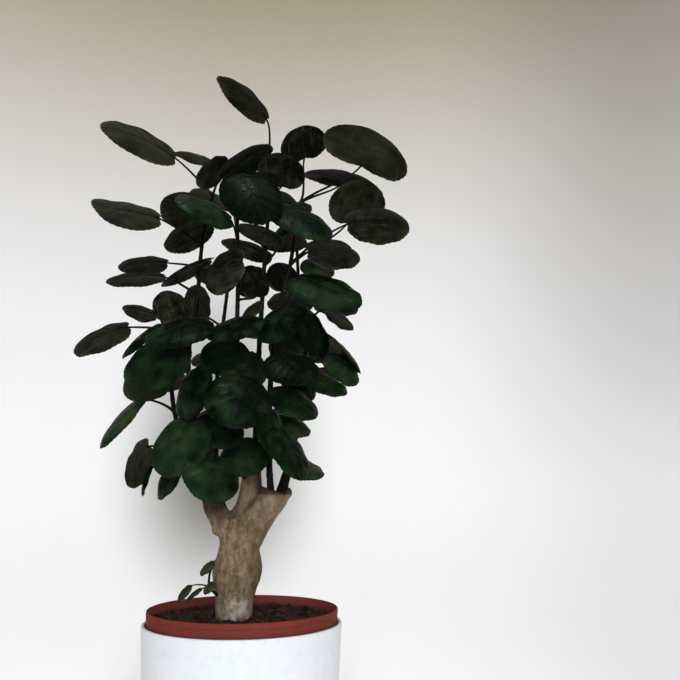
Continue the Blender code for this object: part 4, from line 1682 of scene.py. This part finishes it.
TRUNK_SECTIONS: tuple[Section, ...] = (
    (118.0, -9.0, -3.0, 13.0, 12.5),
    (140.0, -9.0, -3.0, 16.5, 15.5),
    (160.0, -9.0, -3.0, 17.5, 16.5),
    (173.0, -9.3, -2.5, 18.5, 17.0),
    (183.0, -9.0, -2.0, 19.3, 17.5),
    (192.0, -8.4, -1.0, 21.3, 19.0),
    (202.0, -7.4, 0.0, 23.8, 21.0),
    (211.5, -6.7, 0.0, 24.8, 21.5),
    (221.0, -6.2, 0.0, 23.6, 20.5),
    (231.0, -5.9, 0.0, 21.0, 19.0),
    (238.0, -5.2, 0.0, 20.0, 18.5),
    (245.0, -5.0, 0.0, 21.5, 19.0),
    (254.0, -6.0, 0.0, 25.0, 20.0),
    (262.0, -7.0, 1.0, 24.0, 18.5),
    (267.0, -6.0, 1.0, 17.0, 12.0),
)

STUBS: tuple[Stub, ...] = (
    Stub(((-11, 1, 246), (-24, 1, 260), (-33, 1, 272), (-35.5, 2, 280), (-36, 2, 287)),
         (14.0, 12.5, 10.5, 10.5, 11.5), 30.0),
    Stub(((1, 0, 243), (10, 0, 260), (20.5, 0, 275), (28.5, 0, 284), (30.5, 0, 290)),
         (17.5, 17.0, 16.0, 15.5, 15.0), 5.0),
    Stub(((-3, 2, 256), (2, 4, 276), (5, 4, 300), (5, 4, 320)), (17.0, 13.0, 10.5, 9.0)),
)

KNOBS: tuple[Knob, ...] = (
    ((-28.5, -3, 252), (5.5, 8, 6.5)),
    ((10, -12, 262), (12, 8, 14)),
    ((44, -2, 288), (4, 5, 6)),
)

SCARS: tuple[Scar, ...] = (
    Scar((-5.8, -21.5, 212.8), 6.4, 0.55, 1.6),
    Scar((6.0, -19.0, 236.0), 4.5, 0.35, 1.8),
    Scar((-22.0, -12.0, 232.0), 4.0, 0.4),
    Scar((-30.0, 3.0, 208.0), 5.0, 0.9),
    Scar((12.0, 14.0, 205.0), 5.5, 0.9),
)


@dataclass
class Trunk:
    """The pruned trunk with its stubs, knobs, scars and bark relief."""

    sections: tuple[Section, ...]
    stubs: tuple[Stub, ...]
    knobs: tuple[Knob, ...]
    scars: tuple[Scar, ...]
    sides: int = 36
    lobes: int = 3
    lobe_depth: float = 0.035
    twist: float = 0.05
    stub_sides: int = 28
    knob_divisions: int = 3
    collar_sides: int = 16
    collar_step: float = 4.0
    collar_sink: float = 2.0
    collar_swelling: Point = (2.6, 1.9, 1.15)
    voxel: float = 1.1
    rounding: int = 22
    swell_size: float = 17.0
    grain_size: float = 3.2
    crease_stretch: Point = (0.05, 0.05, 0.42)
    crease_shift: Point = (3.0, 7.0, 1.0)
    pore_gap: float = 5.2
    ridge_breadth: float = 1.7
    stain_spread: float = 9.0
    stain_fade: float = 6.0
    sawn_depth: float = 3.5
    sharp: float = 60.0
    node: str = "trunk"

    def build(self, finish: Material) -> Object:
        """Builds the trunk.

        Args:
            finish: The bark.

        Returns:
            The piece, which replaces its node.
        """
        draft = Draft()
        draft.add(*capped(np.array([self._section(*row) for row in self.sections])))
        for stub in self.stubs:
            draft.add(*tube(np.array(stub.points, float), np.array(stub.radii), self.stub_sides))
        for middle, radii in self.knobs:
            draft.add(*self._ellipsoid(middle, radii))
        for shoot in SHOOTS.values():
            low, high = smooth_route(shoot.points[:2], self.collar_step)[:2]
            collar = np.array([low - self.collar_sink * unit(high - low), low, high])
            draft.add(*tube(collar, shoot.foot_radius * np.array(self.collar_swelling), self.collar_sides))
        rough = draft.object("trunk_shapes", [], ALL_SMOOTH)
        mesh = self._grown_together(rough)
        keep_readings(mesh, self._weather(mesh))
        mesh.materials.clear()
        mesh.materials.append(finish)
        piece = stand("pruned_trunk", mesh, self.sharp)
        hand_in(piece, self.node)
        return piece

    def _section(self, z: float, x: float, y: float, half_width: float, half_depth: float) -> Array:
        """One ring of the trunk, a little lobed, turning slowly with height.

        Args:
            z: The ring's height.
            x: Its middle along X.
            y: Its middle along Y.
            half_width: Half its width.
            half_depth: Half its depth.

        Returns:
            The ring's points.
        """
        angle = around(self.sides)
        lobe = 1 + self.lobe_depth * np.sin(self.lobes * angle + self.twist * z) * np.sin(angle) ** 2
        return np.stack([x + lobe * half_width * np.cos(angle), y + lobe * half_depth * np.sin(angle),
                         np.full(self.sides, z)], -1)

    def _ellipsoid(self, middle: Point, radii: Point) -> Shape:
        """A lump on the bark.

        Args:
            middle: Its middle.
            radii: Its three radii.

        Returns:
            Its points and outward triangles.
        """
        points, triangles = ball(self.knob_divisions)
        return points * radii + middle, triangles

    def _grown_together(self, rough: Object) -> Mesh:
        """Makes one rounded surface of overlapping shapes.

        Args:
            rough: The object that holds the shapes, which is removed.

        Returns:
            The new mesh.
        """
        remesh = rough.modifiers.new("one_surface", "REMESH")
        remesh.mode = "VOXEL"
        remesh.voxel_size = self.voxel * MM
        rounding = rough.modifiers.new("rounding", "SMOOTH")
        rounding.iterations = self.rounding
        mesh = carried_out(rough)
        bpy.data.objects.remove(rough, do_unlink=True)
        return mesh

    def _weather(self, mesh: Mesh) -> Array:
        """Moves each point by the bark's relief.

        Args:
            mesh: The trunk's mesh.

        Returns:
            The reading of each point: relief, pore and sawn end.
        """
        count = len(mesh.vertices)
        points, normals = np.empty(count * 3), np.empty(count * 3)
        mesh.vertices.foreach_get("co", points)
        mesh.vertices.foreach_get("normal", normals)
        points, normals = points.reshape(-1, 3) / MM, normals.reshape(-1, 3)
        readings = np.zeros((count, 3))
        height = np.zeros(count)
        for i, point in enumerate(points):
            height[i], readings[i, 0], readings[i, 1] = self._relief(Vector(point))
        for scar in self.scars:
            far = np.linalg.norm((points - scar.middle) * (1.0, 1.0, scar.flatness), axis=1)
            ridge = np.exp(-((far - scar.radius) / self.ridge_breadth) ** 2)
            pit = np.exp(-(far / (0.5 * scar.radius)) ** 2)
            height += scar.height * (ridge - 0.5 * pit)
            readings[:, 1] = np.maximum(readings[:, 1], np.maximum(ridge, 0.55 * pit))
            readings[:, 0] -= 0.12 * pit
        for stub in self.stubs:
            end = np.array(stub.points[-1])
            apart = np.linalg.norm(points[:, :2] - end[:2], axis=1)
            near = np.clip((stub.radii[-1] + self.stain_spread - apart) / self.stain_fade, 0.0, 1.0)
            stain = near * np.clip((points[:, 2] - end[2] + stub.stained) / (0.5 * stub.stained), 0.0, 1.0)
            readings[:, 2] = np.maximum(readings[:, 2], stain)
            height[(near > 0.5) & (points[:, 2] > end[2] - self.sawn_depth)] *= 0.5
        points = (points + normals * height[:, None]) * MM
        mesh.vertices.foreach_set("co", points.ravel())
        return readings

    def _relief(self, point: Vector) -> tuple[float, float, float]:
        """The bark's relief at a point.

        Args:
            point: The point in millimetres.

        Returns:
            How far it stands out, the relief from 0 to 1, and how much of a pore it is.
        """
        broad = noise.fractal(point / self.swell_size, 1.0, 2.0, 3)
        fine = noise.fractal(Vector((point.x, point.y, point.z * 0.5)) / self.grain_size, 0.9, 2.1, 3)
        level = Vector(a * b for a, b in zip(point, self.crease_stretch))
        crease = noise.noise(level + Vector(self.crease_shift) + broad * Vector((0.8, 0.8, 0.8)))
        spread = noise.voronoi(Vector((point.x, point.y, point.z * 1.7)) / self.pore_gap)[0][0]
        pore = max(0.0, 1.0 - spread / 0.30)
        cut = -max(0.0, abs(crease) * -9.0 + 1.0)
        height = 0.60 * broad + 0.12 * fine + 0.16 * pore + 0.14 * cut
        return height, 0.5 + 0.20 * broad + 0.20 * fine + 0.16 * cut, pore


def ball(subdivisions: int) -> Shape:
    """A ball of radius 1 about the origin.

    Args:
        subdivisions: How often its faces are divided, from 1.

    Returns:
        Its points and outward triangles.
    """
    shape = bmesh.new()
    bmesh.ops.create_icosphere(shape, subdivisions=subdivisions, radius=1.0)
    points = np.array([v.co[:] for v in shape.verts])
    triangles = np.array([[v.index for v in f.verts] for f in shape.faces])
    shape.free()
    return points, outward(points, triangles)


CRUMB = ball(2)


@dataclass
class CoverPot:
    """The tapered white ceramic pot: a turned shell with a round lip and a coved floor."""

    rim_radius: float = 99.0
    height: float = 162.5
    taper: float = 8.5
    wall: float = 3.6
    floor: float = 7.0
    sides: int = 192
    steps: int = 26
    rounding_steps: int = 6
    foot_inset: float = 0.4
    foot_rounding: float = 3.4
    cove: float = 6.0
    straight_above: float = 12.0
    straight_to_rim: float = 10.0
    unevenness: float = 0.25
    wobble_size: float = 38.0
    wobble_fade: float = 20.0
    sharp: float = 40.0
    node: str = "cover_pot"

    def radius(self, z: float) -> float:
        """The outer radius at this height."""
        return self.rim_radius - self.taper * (1 - z / self.height)

    def build(self, finish: Material) -> Object:
        """Builds the pot.

        Args:
            finish: The glazed ceramic.

        Returns:
            The piece, which replaces its node.
        """
        lip = self.wall / 2 - 0.05
        low = self.radius(self.floor) - self.wall
        heights = np.linspace(self.straight_above, self.height - self.straight_to_rim, self.steps)
        outer = [(self.radius(z), float(z), 0.0) for z in heights]
        inner = [(self.radius(z) - self.wall, float(z), 0.0) for z in heights[::-3]]
        corners = [(0.0, 0.0, 0.0), (self.radius(0) - self.foot_inset, 0.0, self.foot_rounding), *outer,
                   (self.rim_radius, self.height, lip), (self.rim_radius - self.wall, self.height, lip),
                   *inner, (low, self.floor, self.cove), (0.0, self.floor, 0.0)]
        points, triangles = turned(rounded(corners, self.rounding_steps), self.sides)
        wobble = np.array([noise.noise(Vector(p) / self.wobble_size) for p in points])
        outward_way = unit(points * (1.0, 1.0, 0.0))
        fade = np.clip(points[:, 2] / self.wobble_fade, 0, 1)
        points = points + outward_way * (self.unevenness * (wobble - 0.3) * fade)[:, None]
        draft = Draft()
        draft.add(points, triangles)
        piece = draft.object("ceramic_cover_pot", [finish], self.sharp)
        hand_in(piece, self.node)
        return piece


@dataclass
class NurseryPot:
    """The thin moulded pot: a tapered body, a wider collar with a banded lip, and drain holes."""

    collar_radius: float = 94.5
    height: float = 168.0
    wall: float = 1.7
    floor: float = 2.2
    body_radius: float = 90.5
    foot_radius: float = 70.0
    collar_depth: float = 21.0
    flare: float = 0.6
    band: float = 5.5
    groove: float = 0.5
    drain_radius: float = 5.0
    drain_circle: float = 42.0
    drains: int = 4
    drain_sides: int = 32
    base_z: float = 7.3
    sides: int = 192
    body_steps: int = 12
    rounding_steps: int = 4
    sharp: float = 40.0
    node: str = "nursery_pot"

    def build(self, finish: Material) -> Object:
        """Builds the pot and drills its drain holes.

        Args:
            finish: The moulded plastic.

        Returns:
            The piece, which replaces its node.
        """
        draft = Draft()
        draft.add(*turned([(r, z + self.base_z) for r, z in self._profile()], self.sides))
        piece = draft.object("moulded_nursery_pot", [finish], self.sharp)
        self._drill(piece)
        hand_in(piece, self.node)
        return piece

    def _profile(self) -> list[Span]:
        """The pot's profile, from the middle of its foot up the outside, over the lip and down the inside.

        Returns:
            (radius, height) points above its foot.
        """
        shoulder = self.height - self.collar_depth
        band_z = self.height - self.band
        lip = self.collar_radius + self.groove / 2
        heights = [shoulder * k / self.body_steps for k in range(1, self.body_steps)]
        outer = [(self._body(z), z, 0.0) for z in heights]
        inner = [(r - self.wall, z, 0.0) for r, z, _ in outer[::-2]]
        return rounded([
            (0.0, 0.0, 0.0), (self.foot_radius, 0.0, 1.0), *outer,
            (self.body_radius, shoulder, 0.5), (self.collar_radius - self.flare, shoulder + 0.8, 0.7),
            (self.collar_radius, band_z - self.groove, 0.3), (self.collar_radius - self.groove, band_z, 0.4),
            (lip, band_z + self.groove, 0.5), (lip, self.height, 0.75),
            (self.collar_radius - self.wall + 0.1, self.height, 0.6),
            (self.collar_radius - self.wall, self.height - 3.0, 0.0),
            (self.collar_radius - self.wall - self.flare, shoulder + 3.4, 0.8),
            (self.body_radius - self.wall, shoulder, 0.8), *inner,
            (self._body(self.floor) - self.wall, self.floor, 1.2), (0.0, self.floor, 0.0),
        ], self.rounding_steps)

    def _body(self, z: float) -> float:
        """The body's outer radius at this height above the foot."""
        widening = self.body_radius - self.foot_radius
        return self.foot_radius + widening * z / (self.height - self.collar_depth)

    def _drill(self, piece: Object) -> None:
        """Cuts the drain holes through the floor.

        Args:
            piece: The pot.
        """
        draft = Draft()
        for k in range(self.drains):
            angle = math.tau * (k + 0.5) / self.drains
            x, y = self.drain_circle * math.cos(angle), self.drain_circle * math.sin(angle)
            ends = np.array([(x, y, self.base_z - self.floor), (x, y, self.base_z + 2 * self.floor)])
            draft.add(*tube(ends, np.full(2, self.drain_radius), self.drain_sides))
        cutter = draft.object("drain_cutter", [], ALL_SMOOTH)
        cut = piece.modifiers.new("drains", "BOOLEAN")
        cut.operation = "DIFFERENCE"
        cut.object = cutter
        mesh = carried_out(piece)
        piece.modifiers.clear()
        piece.data = mesh
        bpy.data.objects.remove(cutter, do_unlink=True)


@dataclass
class PottingSoil:
    """The soil that fills the nursery pot, with crumbs strewn over it."""

    top_z: float = 164.3
    rim_radius: float = 91.6
    shoulder_radius: float = 88.3
    shoulder_z: float = 153.9
    floor_radius: float = 68.2
    floor_z: float = 10.0
    relief: float = 1.3
    hump_x: float = 30.0
    hump_y: float = 37.0
    crumb_x: float = 14.6
    crumb_y: float = 20.3
    rings: int = 46
    sides: int = 150
    clod_size: float = 5.5
    clod_height: float = 1.6
    tone_size: float = 3.0
    crumbs: int = 640
    strewn_share: float = 0.93
    crumb_radii: Span = (0.8, 3.4)
    foot_crumbs: int = 120
    foot_crumb_radii: Span = (0.9, 2.2)
    crumb_stretch: Span = (0.6, 1.25)
    crumb_dents: float = 0.28
    crumb_rise: float = 0.35
    red_crumbs: float = 0.14
    trunk_middle: Span = (-9.0, -3.0)
    trunk_radius: float = 17.0
    foot_reach: float = 4.0
    sharp: float = 75.0
    seed: int = 11
    node: str = "soil"

    def height(self, x: Array, y: Array) -> Array:
        """The soil's height at each place, with its humps as in the CAD model and finer clods.

        Args:
            x: Places along X.
            y: Places along Y.

        Returns:
            The heights.
        """
        humps = np.sin(math.tau * x / self.hump_x) * np.cos(math.tau * y / self.hump_y)
        crumbs = np.sin(math.tau * (x / self.crumb_x - y / self.crumb_y))
        clods = np.array([noise.fractal(Vector((a, b, 0.0)) / self.clod_size, 0.8, 2.1, 4)
                          for a, b in zip(x, y)])
        return self.top_z + self.relief * (humps + 0.6 * crumbs) + self.clod_height * clods

    def build(self, finish: Material) -> Object:
        """Builds the soil and its crumbs.

        Args:
            finish: The soil.

        Returns:
            The piece, which replaces its node.
        """
        draft = Draft()
        angle = around(self.sides)
        circle = np.stack([np.cos(angle), np.sin(angle)], -1)
        rings = [self._level(circle * self.floor_radius, self.floor_z),
                 self._level(circle * self.shoulder_radius, self.shoulder_z)]
        for step in range(self.rings, 0, -1):
            flat = circle * self.rim_radius * step / self.rings
            rings.append(self._level(flat, self.height(flat[:, 0], flat[:, 1])))
        points, triangles = capped(np.array(rings))
        tones = np.array([noise.noise(Vector(p) / self.tone_size) for p in points]) * 0.5 + 0.5
        draft.add(points, triangles, 0, np.stack([tones, np.zeros_like(tones), np.zeros_like(tones)], -1))
        self._strew(draft)
        piece = draft.object("crumbly_potting_soil", [finish], self.sharp)
        hand_in(piece, self.node)
        return piece

    @staticmethod
    def _level(flat: Array, z: float | Array) -> Array:
        """Points at the given places along X and Y and at these heights."""
        return np.column_stack([flat, np.broadcast_to(z, len(flat))])

    def _strew(self, draft: Draft) -> None:
        """Strews crumbs over the surface, more of them small than large.

        Args:
            draft: The piece that they join.
        """
        draw = np.random.default_rng(self.seed)
        middle_x, middle_y = self.trunk_middle
        least, most = self.crumb_radii
        for _ in range(self.crumbs):
            radius = self.rim_radius * math.sqrt(draw.uniform(0.0, self.strewn_share))
            angle = draw.uniform(0, math.tau)
            x, y = radius * math.cos(angle), radius * math.sin(angle)
            if math.hypot(x - middle_x, y - middle_y) > self.trunk_radius:
                self._crumb(draft, draw, x, y, least + (most - least) * draw.random() ** 3)
        least, most = self.foot_crumb_radii
        for _ in range(self.foot_crumbs):
            radius = self.trunk_radius + self.foot_reach * draw.random() ** 1.5
            angle = draw.uniform(0, math.tau)
            x, y = middle_x + radius * math.cos(angle), middle_y + radius * math.sin(angle)
            self._crumb(draft, draw, x, y, least + (most - least) * draw.random() ** 2)

    def _crumb(self, draft: Draft, draw: np.random.Generator, x: float, y: float, size: float) -> None:
        """Lays one crumb on the surface.

        Args:
            draft: The piece that it joins.
            draw: The source of its form and tone.
            x: Its place along X.
            y: Its place along Y.
            size: Its radius.
        """
        shape, triangles = CRUMB
        stretch = size * draw.uniform(*self.crumb_stretch, 3)
        turn = Vector(draw.uniform(-1, 1, 3)).normalized().to_track_quat("Z", "Y").to_matrix()
        dents = 1 + self.crumb_dents * draw.uniform(-1, 1, len(shape))
        lump = (shape * dents[:, None] * stretch) @ np.array(turn)
        z = float(self.height(np.array([x]), np.array([y]))[0])
        lump += (x, y, z + self.crumb_rise * size)
        draft.add(lump, triangles, 0, (draw.random(), float(draw.random() < self.red_crumbs), 0.0))


@dataclass(frozen=True)
class SoftLight:
    """A rectangular light that doesn't show itself, with its sizes in metres and its power in watts."""

    name: str
    place: Point
    target: Point
    size: Span
    power: float
    colour: Colour

    def build(self) -> None:
        """Puts the light in the scene."""
        data = bpy.data.lights.new(self.name, "AREA")
        data.shape = "RECTANGLE"
        data.size, data.size_y = self.size
        data.energy = self.power
        data.color = self.colour
        light = bpy.data.objects.new(self.name, data)
        light.location = self.place
        aim = Vector(self.target) - Vector(self.place)
        light.rotation_euler = aim.to_track_quat("-Z", "Y").to_euler()
        light.visible_camera = False
        bpy.context.scene.collection.objects.link(light)


LIGHTS: tuple[SoftLight, ...] = (
    SoftLight("window", place=(0.35, -2.1, 0.45), target=(0.0, 0.0, 0.30), size=(1.7, 1.2), power=55.0,
              colour=(0.97, 0.99, 1.0)),
    SoftLight("ceiling", place=(0.2, 0.1, 2.9), target=(0.0, 0.1, 0.3), size=(2.0, 2.0), power=15.5,
              colour=(1.0, 0.95, 0.88)),
    SoftLight("lamp", place=(-0.15, -0.35, 2.3), target=(0.0, 0.0, 0.4), size=(0.28, 0.28), power=7.0,
              colour=(1.0, 0.99, 0.97)),
)


@dataclass
class Studio:
    """The pale floor that sweeps up into a wall all round, the lights and the camera. Sizes in metres."""

    lights: tuple[SoftLight, ...] = LIGHTS
    middle_radius: float = 0.02
    flat_radius: float = 0.4
    floor_radius: float = 0.85
    sweep_length: float = 2.5
    sweep_steps: int = 48
    wall_height: float = 3.4
    sides: int = 96
    room_colour: Colour = (1.0, 0.96, 0.90)
    room_strength: float = 0.54
    camera_place: Point = (0.097, -0.779, 0.2883)
    camera_pitch: float = 11.7
    lens: float = 39.02
    sensor_width: float = 36.0
    gamma: float = 0.85

    def build(self, finish: Material) -> None:
        """Builds the backdrop, lights, world and camera.

        Args:
            finish: The backdrop's paint.
        """
        self._backdrop(finish)
        for light in self.lights:
            light.build()
        self._world()
        self._camera()

    def _profile(self) -> list[Span]:
        """The backdrop's (radius, height) points: a flat floor, a sweep that steepens softly, and a wall.

        Returns:
            The points from the middle outwards.
        """
        profile = [(self.middle_radius, 0.0), (self.flat_radius, 0.0), (self.floor_radius, 0.0)]
        step = self.sweep_length / self.sweep_steps
        for k in range(self.sweep_steps):
            t = (k + 0.5) / self.sweep_steps
            slope = math.pi / 2 * t * t * (3 - 2 * t)
            r, z = profile[-1]
            profile.append((r + step * math.cos(slope), z + step * math.sin(slope)))
        return [*profile, (profile[-1][0], self.wall_height)]

    def _backdrop(self, finish: Material) -> None:
        """Turns the floor and wall from one curve.

        Args:
            finish: The paint.
        """
        rings = about_z(self._profile(), self.sides)
        faces = ring_triangles(len(rings), self.sides).tolist()
        faces.append(list(range(self.sides)))
        mesh = bpy.data.meshes.new("sweep")
        mesh.from_pydata(rings.reshape(-1, 3).tolist(), [], faces)
        mesh.materials.append(finish)
        stand("floor_sweep", mesh, ALL_SMOOTH)

    def _world(self) -> None:
        """Fills the room with a little warm light, and shows colours as they are."""
        world = bpy.data.worlds.new("room")
        bpy.context.scene.world = world
        world.use_nodes = True
        background = world.node_tree.nodes["Background"]
        background.inputs["Color"].default_value = (*self.room_colour, 1.0)
        background.inputs["Strength"].default_value = self.room_strength
        bpy.context.scene.view_settings.view_transform = "Standard"
        bpy.context.scene.view_settings.gamma = self.gamma

    def _camera(self) -> None:
        """Puts the camera where the photograph was taken from: low, close and tipped up."""
        data = bpy.data.cameras.new("camera")
        data.lens = self.lens
        data.sensor_width = self.sensor_width
        camera = bpy.data.objects.new("camera", data)
        camera.location = self.camera_place
        camera.rotation_euler = (math.radians(90 + self.camera_pitch), 0.0, 0.0)
        bpy.context.scene.collection.objects.link(camera)
        bpy.context.scene.camera = camera


FOLIAGE: tuple[LeafFinish | StemFinish, ...] = (
    LeafFinish(
        "leaf_upper_face", Face.UPPER,
        deep=(0.0028, 0.0078, 0.0038), light=(0.0196, 0.0485, 0.0196), young=(0.075, 0.100, 0.040),
        vein=(0.026, 0.050, 0.026), edge=(0.012, 0.020, 0.010),
        gloss=0.25, specular=0.034, vein_show=0.18, crease_highlight=0.12,
    ),
    LeafFinish(
        "leaf_under_face", Face.UNDER,
        deep=(0.0048, 0.0080, 0.0036), light=(0.0540, 0.0575, 0.0320), young=(0.105, 0.115, 0.065),
        vein=(0.090, 0.096, 0.062), edge=(0.105, 0.102, 0.076),
        gloss=0.40, specular=0.07, vein_show=0.12, crease_highlight=0.52,
    ),
    StemFinish("leaf_stalk", foot=(0.013, 0.011, 0.007), top=(0.009, 0.011, 0.006),
               speck=(0.030, 0.027, 0.019), turn=(0.1, 0.7)),
    StemFinish("young_stem", foot=(0.016, 0.013, 0.009), top=(0.009, 0.010, 0.006),
               speck=(0.050, 0.042, 0.030), turn=(0.0, 0.60)),
)


def main() -> None:
    """Builds the studio and every piece in order."""
    logging.basicConfig(level=logging.INFO, format="%(message)s")
    Studio().build(BackdropFinish().material())
    CoverPot().build(CeramicFinish().material())
    NurseryPot().build(PlasticFinish().material())
    PottingSoil().build(SoilFinish().material())
    Trunk(TRUNK_SECTIONS, STUBS, KNOBS, SCARS).build(BarkFinish().material())
    foliage = [finish.material() for finish in FOLIAGE]
    for seed, (node, shoot) in enumerate(SHOOTS.items()):
        LeafyStem(node, shoot, seed).build(foliage)


if __name__ == "__main__":
    main()
